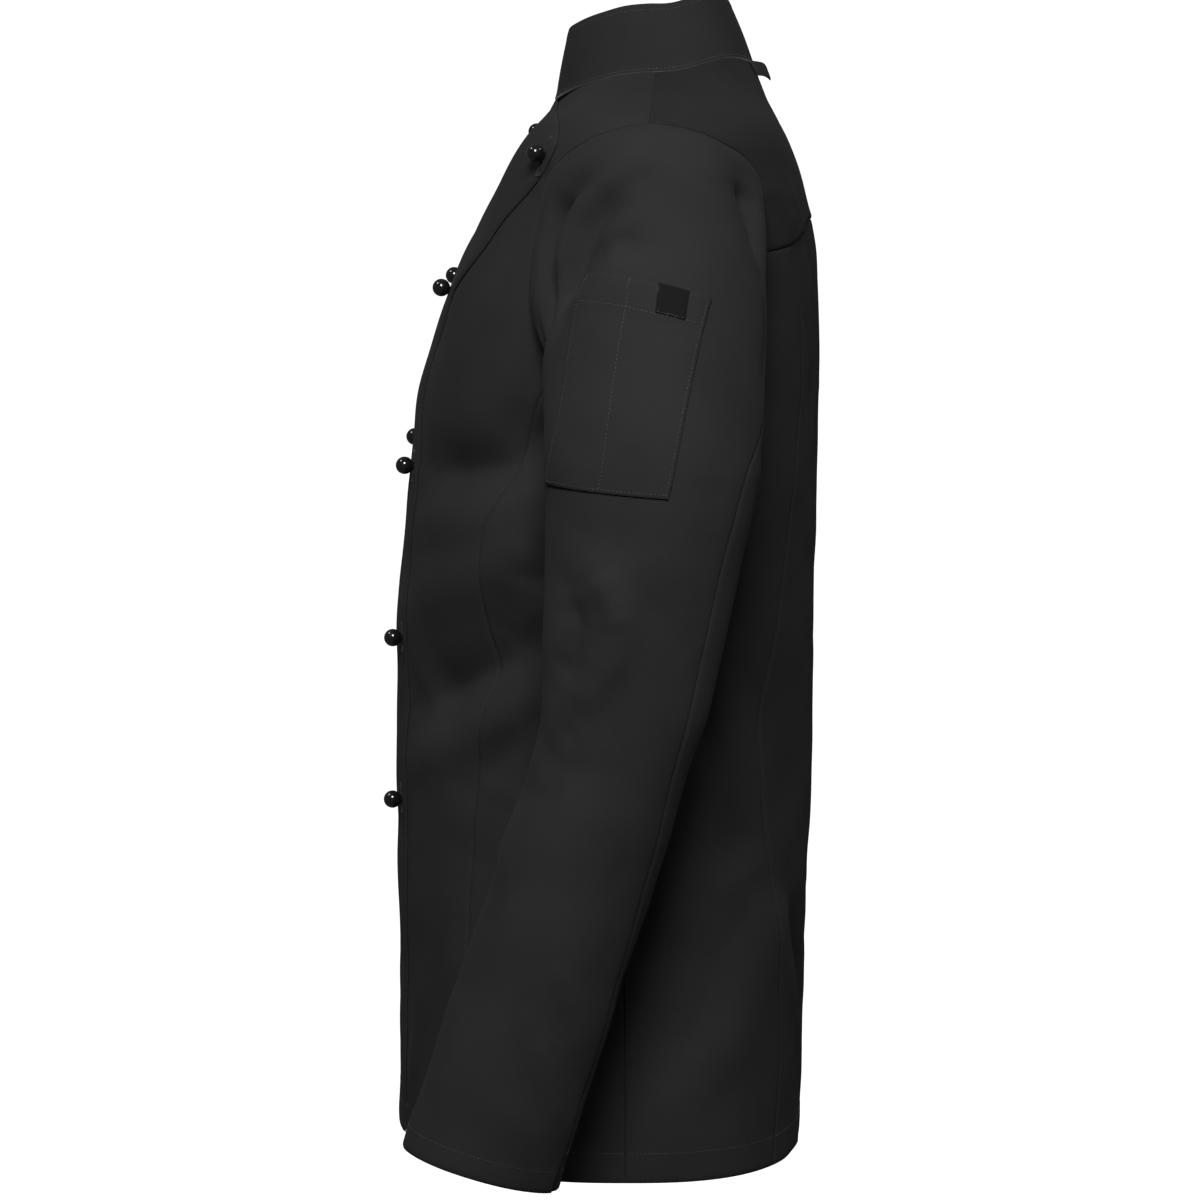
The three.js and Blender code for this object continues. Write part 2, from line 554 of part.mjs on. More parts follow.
// The outside of the lap as its facets run straight between its columns.
function lapFacet(turn, up, out) {
  const edge = frontEdge(up);
  const width = (2 * edge) / LAP_COLUMNS;
  const low = -edge + width * Math.floor((turn + edge) / width);
  const [near, far] = [low, low + width].map((at) => body(at, up, lapStep(at, up) + out));
  return near.lerp(far, (turn - low) / width);
}

for (const { name, turn, up } of STUDS) {
  const stud = add(`stud_${name}`, studGeometry(), gloss());
  const normal = normalOf((a, b) => body(a, b, 0), turn, up, 0.5, 0.5);
  stud.position.copy(lapFacet(turn, up, STUD.gap));
  stud.quaternion.setFromUnitVectors(new THREE.Vector3(0, 0, 1), normal);
}

export default jacket;
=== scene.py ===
import math

import bpy
import numpy as np
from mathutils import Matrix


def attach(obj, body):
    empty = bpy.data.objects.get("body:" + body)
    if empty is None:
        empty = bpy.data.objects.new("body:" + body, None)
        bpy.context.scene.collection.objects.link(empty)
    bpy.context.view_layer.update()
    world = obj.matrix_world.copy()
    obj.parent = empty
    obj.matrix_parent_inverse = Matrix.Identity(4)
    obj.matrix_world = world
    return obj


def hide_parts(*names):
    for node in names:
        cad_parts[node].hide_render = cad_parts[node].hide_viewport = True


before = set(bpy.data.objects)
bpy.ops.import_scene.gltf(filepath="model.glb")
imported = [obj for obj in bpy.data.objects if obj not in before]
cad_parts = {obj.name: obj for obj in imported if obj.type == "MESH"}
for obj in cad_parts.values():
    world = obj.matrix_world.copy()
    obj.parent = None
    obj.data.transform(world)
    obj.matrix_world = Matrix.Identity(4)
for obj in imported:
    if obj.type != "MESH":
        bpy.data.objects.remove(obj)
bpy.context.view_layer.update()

# Camera first, so that the frame stays as the photograph's. Sizes below are in millimetres.
MM = 0.001
TARGET = (0.0, -0.03575, -0.3395)
DISTANCE = 3.3
LIFT = math.radians(6.25)
camera = bpy.data.objects.new("camera", bpy.data.cameras.new("camera"))
bpy.context.scene.collection.objects.link(camera)
camera.location = (TARGET[0] + DISTANCE * math.cos(LIFT), TARGET[1], TARGET[2] + DISTANCE * math.sin(LIFT))
camera.rotation_euler = (math.pi / 2 - LIFT, 0, math.pi / 2)
camera.data.lens = 152.3
camera.data.sensor_width = 36
bpy.context.scene.camera = camera
bpy.context.scene.view_settings.view_transform = "Standard"

# Sizes shared with the solids.

WALL = 1.5
LAYER = 2.1                  # step from the under front to the front over it
YOKE_STEP, YOKE_FADE = 1.0, 14   # the yoke's edge stands over the back, and sinks away from it
NECK_SINK = (655, 60)
COLLAR = {"front": 44, "back": 40, "gap": 0.6, "wall": 2.0, "end": 2.5, "reach": 18, "drop": 18}
COLLAR_LEAN = {"front": 7, "side": 13, "back": 16}
LOOP = {"width": 8.5, "wall": 1.0, "gap": 0.6, "half_turn": 24, "below": 1.5, "stand": 6.1, "drop": 1}
STUD = {"ball": 5.6, "shank": 2.6, "length": 0.3, "gap": 0.65}
POCKET = {"wall": 1.2, "gap": 0.6, "sag": 5}
LABEL = {"wall": 0.6, "gap": 0.4}
NECK = 705
ARM_TIP, ARM_YOKE, ARM_PIT = 8, 16, 21
HEAD = 200
SMOOTH = 12                  # how far the body's sections are blended up and down
SLEEVE_LENGTH = 436
PER_TURN = 2.7               # millimetres a degree around the body, for folds and weave
PER_SIDE = 200               # millimetres a unit of side around the sleeve
COLLAR_PER_TURN = 1.15       # millimetres a degree around the collar

# up, then heights, lift, half width, depths and fullness of each body section
BODY = np.array([
    [0, -672, -681, -688, 0, 198, -166, -20, 94, 2.5, 2.5],
    [75, -598, -603, -610, 0, 194, -165.5, -20, 95, 2.5, 2.5],
    [175, -500, -502, -508, 0, 187, -166, -20, 99.5, 2.5, 2.5],
    [255, -422, -423, -427, 0, 182, -166.5, -20, 101.8, 2.5, 2.5],
    [335, -345, -344, -346, 0, 182, -165.7, -18, 102.7, 2.6, 2.5],
    [400, -285, -280, -279, 0, 186, -159, -16, 103.6, 2.8, 2.5],
    [470, -215, -212, -205, 0, 190, -153, -13, 104.3, 2.9, 2.6],
    [540, -150, -140, -137, 0, 195, -136, -10, 103, 2.7, 2.8],
    [590, -107, -78, -95, 0, 203, -117.5, -8, 98, 2.2, 2.9],
    [630, -74, -27, -64, 2, 206, -96.5, -6, 89.5, 2.0, 2.7],
    [655, -50, -15, -42, 4, 165, -81, -4, 80, 2.0, 2.4],
    [680, -30, -6, -21, 6, 112, -71.5, -2, 73, 2.0, 2.2],
    [705, -14.5, 2.5, 6.4, 7, 66, -63.7, -1, 63, 2.1, 2.1],
])
FRONT_SEAM = [(0, 58.5), (190, 58), (280, 60.5), (307, 61.8), (350, 60.5), (395, 61), (420, 63.5), (445, 67),
              (485, 71), (512, 77)]
SIDE_SEAM = [(0, 90), (487.5, 89)]
BACK_SEAM = [(0, 124), (70, 128), (165, 124.5), (265, 121), (350, 125), (407, 128.5), (480, 130.7), (520, 128.5),
             (572.5, 122.5)]
FRONT_EDGE = [(0, 29.5), (470, 30.5), (507, 31.5), (527, 33.5), (541, 34.6), (551, 36.8), (558, 41.3), (572, 50.5),
              (586, 57), (597, 63.3), (607, 68.5), (616, 71), (622, 71.8), (630, 71.2), (640, 69), (653, 63.5),
              (660, 58.5), (676, 46), (690, 29), (700, 13), (705, 4)]
YOKE_EDGE = [(111.5, 568), (122.5, 572.5), (131, 583), (145, 590), (180, 593)]
ARMHOLE = np.array([
    (77, 512), (72, 530), (69.5, 552), (69, 575), (69.3, 595), (71, 608), (75.5, 616), (82.5, 625.5),
    (90, 631), (96, 628), (102.5, 620), (107.5, 612.5), (110.5, 604), (111.5, 595), (111.8, 586), (111.7, 577),
    (111.5, 568), (109.5, 545), (106.5, 523), (102, 504), (96, 492),
    (89, 487.5), (85.5, 489.5), (81.8, 495), (79, 503)])
ARM_ROWS = len(ARMHOLE)
# down, then middle, half depth and width, and pitch of each sleeve section
SLEEVE = np.array([
    [0, 250, -4, -232, 65, 52, 4],
    [81, 259, -13.3, -313, 56.5, 49, 8],
    [138, 264, -20.8, -369, 50.5, 46.5, 12],
    [176, 266, -28.6, -406, 46.5, 44.5, 15],
    [228, 268, -44.1, -456, 47.4, 43, 18],
    [296, 270, -65, -520.4, 47, 41.5, 18.5],
    [370, 272, -87.6, -591, 48.3, 40.5, 18],
    [436, 273, -107.9, -654, 49, 40, 16],
])
SIDE_ANGLE = (-30, 188)
SLEEVE_SEAM = [(-200, 1), (-120, 0.985), (-57, 0.94), (2, 0.82), (32, 0.805), (96, 0.785), (133, 0.783),
               (163, 0.791), (202, 0.806), (248, 0.835), (287, 0.86), (436, 0.88)]
STUDS = {
    "left_1": (69, 615.5), "left_2": (31, 552), "left_3": (27, 438), "left_4": (27.5, 324), "left_5": (27, 217),
    "right_1": (-64.5, 625), "right_2": (-35, 552.5), "right_3": (-26.5, 445.5), "right_4": (-28.5, 329),
    "right_5": (-28.5, 223)}
POCKET_CORNERS = [(0.195, 14), (0.592, 14), (0.638, -87.5), (0.388, -97.5)]
LABEL_CORNERS = [(0.529, -74), (0.59, -73), (0.592, -86), (0.531, -87)]

# Folds: points on the cloth, width, rise, and skew, the width's share on the left of the line.

BODY_FOLDS = [
    # bust hollow with the roll under it
    ([(76, 482), (69.5, 455), (65, 443), (58, 439), (49.5, 438), (40, 437)], 22, -14, 0.75),
    ([(73, 446), (66, 424), (57, 412), (48, 406), (40, 404)], 15, 3.6, 1),
    ([(74, 412), (69, 395), (63.5, 384), (57.5, 374), (48, 362), (38, 350)], 20, 4.5, 1),
    # long diagonal hollow from the waist to the front, and the roll under it
    ([(76, 346), (71, 335), (66.5, 321), (62, 313), (52.5, 300), (40, 284)], 22, -15, 0.75),
    ([(72, 312), (66, 290), (56, 270), (44, 254), (36, 246)], 15, 4.2, 1),
    # side panel
    ([(77, 402), (74, 380), (71, 362)], 11, -6, 0.9),
    ([(74, 296), (69, 272), (64, 257), (59, 236)], 11, -4, 0.9),
    ([(66, 240), (60, 204), (57, 180)], 14, -3, 1),
    ([(104, 300), (112, 236), (117, 180)], 20, -8, 0.9),
    ([(96, 330), (100, 250), (98, 160)], 16, 2, 1),
    # lower front
    ([(42.5, 118), (39, 72), (34, 24)], 8, 2.4, 0.6),
    ([(50, 150), (46, 90), (43, 30)], 15, -1.4, 1),
    ([(70, 160), (72, 90), (70, 20)], 20, 1.6, 1),
    ([(15, 180), (10, 100), (12, 20)], 18, -1.4, 1),
    ([(-5, 330), (4, 270), (2, 210)], 16, -1.2, 1),
    # lower back
    ([(119, 170), (108, 132), (99, 66)], 16, -2.6, 0.8),
    ([(126, 150), (113, 84), (101, 52), (92, 18)], 15, 2.2, 1),
    ([(118, 180), (134, 120), (150, 60)], 14, 3, 1),
    ([(112, 330), (126, 262), (140, 200)], 18, -5, 1),
    ([(132, 170), (150, 104), (165, 40)], 15, -6, 1),
    ([(175, 330), (183, 250), (178, 170)], 20, -2, 1),
    ([(168, 110), (176, 60), (174, 15)], 14, 1.8, 1),
    # yoke and the pleats under it
    ([(112, 603), (116, 596)], 4, 1.2, 0.6),
    ([(115.5, 606), (118, 595), (122.5, 577)], 3.6, 1.3, 0.6),
    ([(119, 603), (121, 592), (124.5, 578)], 3.6, 1.2, 0.6),
    ([(121.5, 606), (125.5, 590), (130, 580)], 4, 1.6, 0.5),
    ([(127.5, 578), (131, 566), (135, 545), (142, 500), (145, 450)], 6, 2.2, 0.6),
    ([(133, 580), (139, 550), (148, 505)], 6, -1.4, 1),
    ([(150, 586), (156, 540), (158, 480)], 8, 1.4, 0.7),
    ([(-150, 586), (-157, 545), (-160, 485)], 8, 1.4, 0.7),
    # front of the armhole
    ([(69, 604), (65, 588), (60, 560)], 8, -2, 0.8),
    ([(72, 545), (66, 520), (62, 496)], 10, 1.8, 1),
    ([(76, 505), (70, 488), (66, 470)], 8, -1.6, 1),
    # wearer's right, less deep and placed otherwise
    ([(-72, 462), (-62, 440), (-50, 436), (-38, 440)], 22, -12, 1),
    ([(-70, 396), (-56, 376), (-38, 364)], 20, 3, 1),
    ([(-74, 340), (-62, 318), (-48, 300), (-36, 288)], 22, -12.5, 1),
    ([(-60, 266), (-46, 250), (-34, 242)], 16, 2.4, 1),
    ([(-60, 240), (-48, 236), (-38, 228)], 14, -2, 1),
    ([(-104, 290), (-112, 230), (-118, 170)], 20, -4, 1),
    ([(-92, 320), (-88, 250), (-94, 150)], 18, 2, 1),
    ([(-116, 165), (-134, 110), (-152, 50)], 15, 3, 1),
    ([(-130, 175), (-146, 112), (-160, 50)], 13, -3, 1),
    ([(-74, 150), (-68, 80), (-72, 20)], 18, 1.6, 1),
    ([(-30, 160), (-26, 90), (-28, 20)], 16, -1.4, 1),
    ([(-112, 602), (-118, 594), (-123, 577)], 4, 1.3, 1.6),
    ([(-120, 604), (-126, 588), (-131, 579)], 4, 1.5, 1.6),
    ([(-128, 577), (-136, 545), (-143, 495)], 7, 2, 1.5),
    ([(-69, 602), (-64, 580), (-59, 556)], 8, -1.8, 1.2),
]

# The same for the sleeves. A row that ends with a side is on that sleeve alone, and all others are on both.
SLEEVE_FOLDS = [
    ([(0.37, -152), (0.33, -148), (0.28, -143), (0.24, -132), (0.21, -112), (0.20, -96)], 8, -22, 1),
    ([(0.48, -141), (0.43, -134), (0.385, -124), (0.35, -110), (0.31, -96), (0.29, -84)], 7.5, -17, 1),
    ([(0.41, -146), (0.37, -135), (0.33, -122), (0.29, -108)], 6, 4, 1),
    ([(0.10, -150), (0.08, -100), (0.07, -60)], 13, -7.5, 1),
    ([(0.39, -98), (0.42, -106), (0.46, -108), (0.49, -99)], 5.5, -8, 0.8, "left"),
    ([(0.41, -99), (0.44, -104), (0.47, -99)], 3, 1.4, 1, "left"),
    ([(0.54, -186), (0.57, -150), (0.59, -112)], 9, -1.6, 1),
    ([(0.69, -168), (0.72, -152), (0.77, -140), (0.82, -128)], 9, -13, 0.9),
    ([(0.70, -176), (0.76, -158), (0.84, -150)], 6, 1.8, 1),
    ([(0.86, -130), (0.90, -90), (0.88, -60)], 9, -2.2, 0.8),
    ([(0.74, -30), (0.72, 10), (0.70, 60)], 16, -1.6, 1),
    ([(0.30, 32), (0.42, 44), (0.58, 40)], 12, -1.4, 1, "left"),
    # elbow
    ([(0.33, 76), (0.36, 96), (0.34, 116), (0.28, 138)], 10, -6.5, 1),
    ([(0.42, 60), (0.49, 80), (0.51, 96)], 9, 3.6, 0.8),
    ([(0.51, 96), (0.49, 112), (0.44, 130), (0.37, 150)], 9, 3.6, 0.8),
    ([(0.46, 112), (0.40, 144), (0.33, 176)], 12, -2.6, 1),
    ([(0.55, 70), (0.66, 92), (0.76, 104)], 12, -1.6, 1),
    ([(0.20, 178), (0.34, 186), (0.50, 180)], 10, -1.8, 1),
    ([(0.12, 212), (0.26, 208), (0.42, 198)], 13, -2.2, 1, "left"),
    # forearm
    ([(0.09, 236), (0.2, 250), (0.33, 254)], 12, 1.6, 1),
    ([(0.66, 218), (0.74, 262), (0.78, 300)], 10, -1.4, 1),
    ([(0.577, 290), (0.68, 322), (0.77, 352)], 10, 2, 0.7, "left"),
    ([(0.62, 318), (0.72, 348), (0.82, 372)], 8, -2, 0.7, "left"),
    ([(0.496, 338), (0.60, 372), (0.71, 402)], 10, -2, 0.8),
    ([(0.56, 336), (0.67, 368), (0.78, 394)], 8, 1.6, 1),
    ([(0.20, 330), (0.28, 372), (0.30, 412)], 14, 1.4, 1),
    ([(0.14, 120), (0.20, 170), (0.18, 226)], 14, 1.2, 1, "right"),
    ([(1.25, -20), (1.35, 60), (1.32, 140)], 14, -2.2, 1),
    ([(1.62, 90), (1.70, 180), (1.66, 260)], 14, 1.8, 1),
    ([(1.30, 210), (1.45, 240), (1.6, 236)], 12, -2, 1),
]

# Surfaces.


def pchip(xs, ys):
    """Smooth curve through a column of values that never overshoots them."""
    xs, ys = np.asarray(xs, float), np.asarray(ys, float)
    step = np.diff(xs)
    slope = np.diff(ys) / step
    tangent = np.zeros(len(xs))
    tangent[0], tangent[-1] = slope[0], slope[-1]
    for k in range(1, len(xs) - 1):
        if slope[k - 1] * slope[k] > 0:
            tangent[k] = 2 * slope[k - 1] * slope[k] / (slope[k - 1] + slope[k])

    def curve(x):
        x = np.clip(np.asarray(x, float), xs[0], xs[-1])
        k = np.clip(np.searchsorted(xs, x, side="right") - 1, 0, len(xs) - 2)
        t = (x - xs[k]) / step[k]
        s = 1 - t
        return (ys[k] * (1 + 2 * t) * s ** 2 + tangent[k] * step[k] * t * s ** 2
                + ys[k + 1] * t * t * (3 - 2 * t) - tangent[k + 1] * step[k] * t * t * s)
    return curve


def curve_of(rows):
    return pchip([r[0] for r in rows], [r[1] for r in rows])


BODY_TRACKS = [pchip(BODY[:, 0], BODY[:, k]) for k in range(1, BODY.shape[1])]
SLEEVE_TRACKS = [pchip(SLEEVE[:, 0], SLEEVE[:, k]) for k in range(1, SLEEVE.shape[1])]
front_seam, side_seam, back_seam = curve_of(FRONT_SEAM), curve_of(SIDE_SEAM), curve_of(BACK_SEAM)
front_edge, yoke_edge, sleeve_seam = curve_of(FRONT_EDGE), curve_of(YOKE_EDGE), curve_of(SLEEVE_SEAM)


def ease(t):
    t = np.clip(t, 0, 1)
    return t * t * (3 - 2 * t)


CREASE = 2.0                 # how far a trough's bottom is rounded
TROUGH = 1.4                 # how sharp a trough is; 2 is a plain wave
CALM = {"share": 0.7, "from": 640, "over": 40}   # the neck's cloth lies smoother


def relief(folds, x, y, scale):
    """Height of all folds at places given in millimetres on the flattened cloth."""
    height = np.zeros(np.shape(x))
    for points, width, rise, skew in folds:
        line = np.array(points, float) * [scale, 1]
        best = np.full(np.shape(x), 1e9)
        signed = np.zeros(np.shape(x))
        place = np.zeros(np.shape(x))
        legs = np.hypot(*np.diff(line, axis=0).T)
        for k, ((x1, y1), (x2, y2)) in enumerate(zip(line[:-1], line[1:])):
            run = (x2 - x1) ** 2 + (y2 - y1) ** 2
            t = np.clip(((x - x1) * (x2 - x1) + (y - y1) * (y2 - y1)) / run, 0, 1)
            away = np.hypot(x - x1 - t * (x2 - x1), y - y1 - t * (y2 - y1))
            side = np.sign((x2 - x1) * (y - y1) - (y2 - y1) * (x - x1))
            nearer = away < best
            best = np.where(nearer, away, best)
            signed = np.where(nearer, side, signed)
            place = np.where(nearer, (legs[:k].sum() + t * legs[k]) / legs.sum(), place)
        wide = np.where(signed > 0, width * skew, width)
        soft = np.hypot(best, CREASE) - CREASE
        taper = 0.4 + 0.6 * ease(np.minimum(place, 1 - place) / 0.25)
        height += rise * taper * np.exp(-(soft / wide) ** (TROUGH if rise < 0 else 2))
    return height


def unevenness(x, y, seed):
    """Slow shallow waves that keep the cloth from lying dead smooth."""
    waves = [(0.31, 61, 0.22), (1.27, 83, 0.30), (2.05, 47, 0.16), (2.66, 109, 0.34), (0.78, 37, 0.10)]
    height = np.zeros(np.broadcast(x, y).shape)
    for k, (angle, length, rise) in enumerate(waves):
        along = x * math.cos(angle + seed) + y * math.sin(angle + seed)
        across = y * math.cos(angle + seed) - x * math.sin(angle + seed)
        phase = 1.9 * k + 2.3 * seed + 1.3 * np.sin(across / (1.7 * length))
        height += rise * np.sin(2 * math.pi * along / length + phase)
    return height


def unit(vectors):
    return vectors / np.maximum(np.linalg.norm(vectors, axis=-1, keepdims=True), 1e-9)


def body_base(turn, up):
    a = np.radians(turn)
    blend = np.clip(np.minimum(up, NECK - up), 0, SMOOTH)
    tracks = [(t(up - blend) + t(up) + t(up + blend)) / 3 for t in BODY_TRACKS]
    front_z, side_z, back_z, lift, half, front_y, side_y, back_y, front_full, back_full = tracks
    s, c = np.sin(a), np.cos(a)
    depth = np.where(c > 0, side_y - front_y, back_y - side_y)
    full = np.where(c > 0, front_full, back_full)
    reach = (np.abs(s / half) ** full + np.abs(c / depth) ** full) ** (-1 / full)
    z = np.where(c > 0, front_z, back_z) * c * c + side_z * s * s + np.where(c < 0, 4 * lift * s * s * c * c, 0)
    return np.stack([reach * s, side_y - reach * c, z], -1)


def normals(surface, a, b, step_a, step_b):
    along_a = surface(a + step_a, b) - surface(a - step_a, b)
    along_b = surface(a, b + step_b) - surface(a, b - step_b)
    return unit(np.cross(along_a, along_b))


def body(turn, up, out):
    turn, up = np.broadcast_arrays(np.asarray(turn, float), np.asarray(up, float))
    wrapped = (turn + 180) % 360 - 180
    x = wrapped * PER_TURN
    calm = 1 - CALM["share"] * ease((up - CALM["from"]) / CALM["over"])
    height = relief(BODY_FOLDS, x, up, PER_TURN) + calm * unevenness(x, up, 0.0)
    n = normals(body_base, turn, np.minimum(up, NECK - 1), 0.5, 0.5)
    return body_base(turn, up) + n * (height + out)[..., None]


def arm_place(row):
    """Turn and up on the armhole's closed centripetal curve; row counts along its table."""
    row = np.mod(np.asarray(row, float), ARM_ROWS)
    k = np.floor(row).astype(int) % ARM_ROWS
    w = (row - np.floor(row))[..., None]
    p = [ARMHOLE[(k + step) % ARM_ROWS] for step in (-1, 0, 1, 2)]
    gap = [np.sqrt(np.linalg.norm(p[i + 1] - p[i], axis=-1, keepdims=True)) for i in range(3)]
    start = ((p[1] - p[0]) / gap[0] - (p[2] - p[0]) / (gap[0] + gap[1]) + (p[2] - p[1]) / gap[1]) * gap[1]
    end = ((p[2] - p[1]) / gap[1] - (p[3] - p[1]) / (gap[1] + gap[2]) + (p[3] - p[2]) / gap[2]) * gap[1]
    return (p[1] + start * w + (3 * (p[2] - p[1]) - 2 * start - end) * w ** 2
            + (2 * (p[1] - p[2]) + start + end) * w ** 3)


def sleeve_tube(side, down):
    x, y, z, depth, width, pitch = [t(down) for t in SLEEVE_TRACKS]
    outer = SIDE_ANGLE[1] - SIDE_ANGLE[0]
    angle = np.radians(np.where(side <= 1, SIDE_ANGLE[0] + side * outer, SIDE_ANGLE[1] + (side - 1) * (360 - outer)))
    ahead, outside, pitch = depth * np.cos(angle), width * np.sin(angle), np.radians(pitch)
    return np.stack([x + outside, y - ahead * np.cos(pitch), z + ahead * np.sin(pitch)], -1)


def arm_row(side):
    return np.where(side <= 1, side * ARM_YOKE, ARM_YOKE + (side - 1) * (ARM_ROWS - ARM_YOKE))


def sleeve_base(side, down):
    side, down = np.broadcast_arrays(np.asarray(side, float), np.asarray(down, float))
    row = arm_row(side)
    around = (row - ARM_TIP) / ARM_ROWS * 2 * math.pi
    high = np.cos(around)
    place = arm_place(row)
    start = body(place[..., 0], place[..., 1], np.full(row.shape, 0.3))
    end = sleeve_tube(side, np.zeros(side.shape))
    leave = np.stack([75 + 35 * high, 22 * np.sin(around), -25 + 15 * high], -1)
    arrive = np.array([0.12, -0.06, -1.0]) * (120 + 90 * high)[..., None]
    t = np.clip(1 + down / HEAD, 0, 1)[..., None]
    s = 1 - t
    head = start * (1 + 2 * t) * s * s + leave * t * s * s + end * t * t * (3 - 2 * t) - arrive * t * t * s
    return np.where((down >= 0)[..., None], sleeve_tube(side, down), head)


def sleeve_on(which):
    folds = [fold[:4] for fold in SLEEVE_FOLDS if fold[4:] in ((), (which,))]

    def surface(side, down, out):
        side, down = np.broadcast_arrays(np.asarray(side, float), np.asarray(down, float))
        x = side * PER_SIDE
        calm = ease((down + HEAD) / 50)
        height = relief(folds, x, down, PER_SIDE) * ease((down + HEAD) / 24)
        height = height + calm * unevenness(x, down, 1.0 if which == "left" else 1.7)
        inside = np.clip(down, 1 - HEAD, SLEEVE_LENGTH - 1)
        n = normals(sleeve_base, side, inside, 0.004, -0.8)
        return sleeve_base(side, down) + n * (height + out)[..., None]
    return surface


SLEEVES = {which: sleeve_on(which) for which in ("left", "right")}

# Cloth as thin closed shells on grids.

EDGE_STEPS = (0.12, 0.35)    # shares of a cell where extra lines round a piece's edge
EDGE_DROP = 0.55             # how far an edge is rolled in, as a share of the wall
EDGE_ROLL = 0.9              # how wide that roll is
LAP_THIN = {"outer": 1.0, "inner": 0.35, "reach": 5}


def spread(count, low, high):
    return np.linspace(low, high, count + 1)


def rounded(count, low, high):
    """Evenly spaced stations with two more beside each end."""
    extra = np.array(EDGE_STEPS) / count
    t = np.concatenate([[0], extra, np.linspace(0, 1, count + 1)[1:-1], 1 - extra[::-1], [1]])
    return low + (high - low) * t


def run_lengths(grid, axis):
    step = np.linalg.norm(np.diff(grid, axis=axis), axis=-1)
    total = np.cumsum(step, axis=axis)
    pad = [(1, 0) if k == axis else (0, 0) for k in range(2)]
    return np.pad(total, pad)


def lengths_along(line):
    return np.concatenate([[0], np.cumsum(np.linalg.norm(np.diff(line, axis=0), axis=1))])


def rim_distance(grid):
    """Distance of each point from the four edges: left, right, bottom, top."""
    across, along = run_lengths(grid, 1), run_lengths(grid, 0)
    return across, across[:, -1:] - across, along, along[-1:] - along


def band(distance, edge, rise):
    """A doubled seam allowance: raised beside the seam as far as its stitching, and drawn in there."""
    stitch = -0.22 * np.exp(-((distance - edge) / 1.0) ** 2)
    return rise * (1 - ease((distance - edge - 0.6) / 1.6)) + stitch


def add_mesh(name, vertices, faces, material, uvs=None):
    mesh = bpy.data.meshes.new(name)
    mesh.from_pydata([tuple(v) for v in vertices * MM], [], faces)
    if uvs is not None:
        layer = mesh.uv_layers.new(name="cloth")
        loops = np.empty(len(mesh.loops), dtype=np.int64)
        mesh.loops.foreach_get("vertex_index", loops)
        layer.data.foreach_set("uv", (uvs[loops] * MM).astype(np.float32).ravel())
    mesh.polygons.foreach_set("use_smooth", np.full(len(mesh.polygons), True))
    mesh.update()
    mesh.materials.append(material)
    obj = bpy.data.objects.new(name, mesh)
    bpy.context.scene.collection.objects.link(obj)
    return obj


def ride_cloth(obj):
    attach(obj, "root")


def shell(name, outer, inner, u, v, material):
    """Closed wall between two grids, with weave coordinates u and v in millimetres."""
    rows, columns = outer.shape[:2]
    count = rows * columns
    index = np.arange(count).reshape(rows, columns)
    a, b, c, d = index[:-1, :-1], index[:-1, 1:], index[1:, 1:], index[1:, :-1]
    front = np.stack([a, b, c, d], -1).reshape(-1, 4)
    back = front[:, ::-1] + count
    loop = np.concatenate([index[0, :-1], index[:-1, -1], index[-1, :0:-1], index[:0:-1, 0]])
    after = np.roll(loop, -1)
    rim = np.stack([after, loop, loop + count, after + count], -1)
    faces = np.concatenate([front, back, rim]).tolist()
    vertices = np.concatenate([outer.reshape(-1, 3), inner.reshape(-1, 3)])
    uv = np.stack([np.tile(u.ravel(), 2), np.tile(v.ravel(), 2)], -1)
    return add_mesh(name, vertices, faces, material, uv)


def mirror_x(grid):
    return (grid * [-1, 1, 1])[:, ::-1]


def panel(name, surface, a, b, out, wall, material, node, bands=(), thin=None, mirrored=False, rests_on=(),
          scale=PER_TURN):
    """One cut piece of cloth in place of its node's solid, which is hidden. bands name its topstitched edges; thin
    names one pressed flat.
    """
    base = surface(a, b, out)
    left, right, bottom, top = rim_distance(base)
    sides = {"left": left, "right": right, "bottom": bottom, "top": top}
    near = np.min([d for edge, d in sides.items() if edge != thin], axis=0)
    height = -EDGE_DROP * wall * np.exp(-(near / EDGE_ROLL) ** 2)
    under = 0
    if thin:
        pressed = 1 - ease(sides[thin] / LAP_THIN["reach"])
        height = height - LAP_THIN["outer"] * pressed - 0.2 * np.exp(-(sides[thin] / 0.5) ** 2)
        under = LAP_THIN["inner"] * pressed
    for edge, width, rise in bands:
        height = height + band(sides[edge], width, rise)
    pucker = 0.10 * np.sin(2 * math.pi * (bottom + 0.4 * left) / 8.3) * np.exp(-np.minimum(left, right) / 5)
    height = height + pucker
    outer = surface(a, b, out + height)
    inner = surface(a, b, out - wall - under)
    u, v = a * scale, b
    if mirrored:
        outer, inner = mirror_x(outer), mirror_x(inner)
        u, v = -u[:, ::-1], v[:, ::-1]
    obj = shell(name, outer, inner, u, v, material)
    area = float(np.linalg.norm(np.cross(np.diff(outer, axis=1)[:-1], np.diff(outer, axis=0)[:, :-1]), axis=-1).sum())
    width = float(run_lengths(outer, 1)[:, -1].max())
    length = float(run_lengths(outer, 0)[-1].max())
    declare(obj, node, width, length, area, rests_on)
    return outer


def declare(obj, node, width, length, area, rests_on):
    """Hangs a sheet on the root and hides its node's solid; its flat size and what it rests on are worked out and not
    used.
    """
    ride_cloth(obj)
    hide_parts(node)
    width, length, area = width * MM, length * MM, area * MM * MM
    list(rests_on)
    float(np.clip(area, 0.31 * width * length, width * length))


# Materials.


def new_material(name):
    material = bpy.data.materials.new(name)
    material.use_nodes = True
    return material, material.node_tree.nodes, material.node_tree.links, material.node_tree.nodes["Principled BSDF"]


def set_sockets(node, values):
    for socket, value in values.items():
        node.inputs[socket].default_value = value


def noise_on(nodes, links, coords, values):
    noise = nodes.new("ShaderNodeTexNoise")
    set_sockets(noise, values)
    links.new(coords, noise.inputs["Vector"])
    return noise.outputs["Fac"]


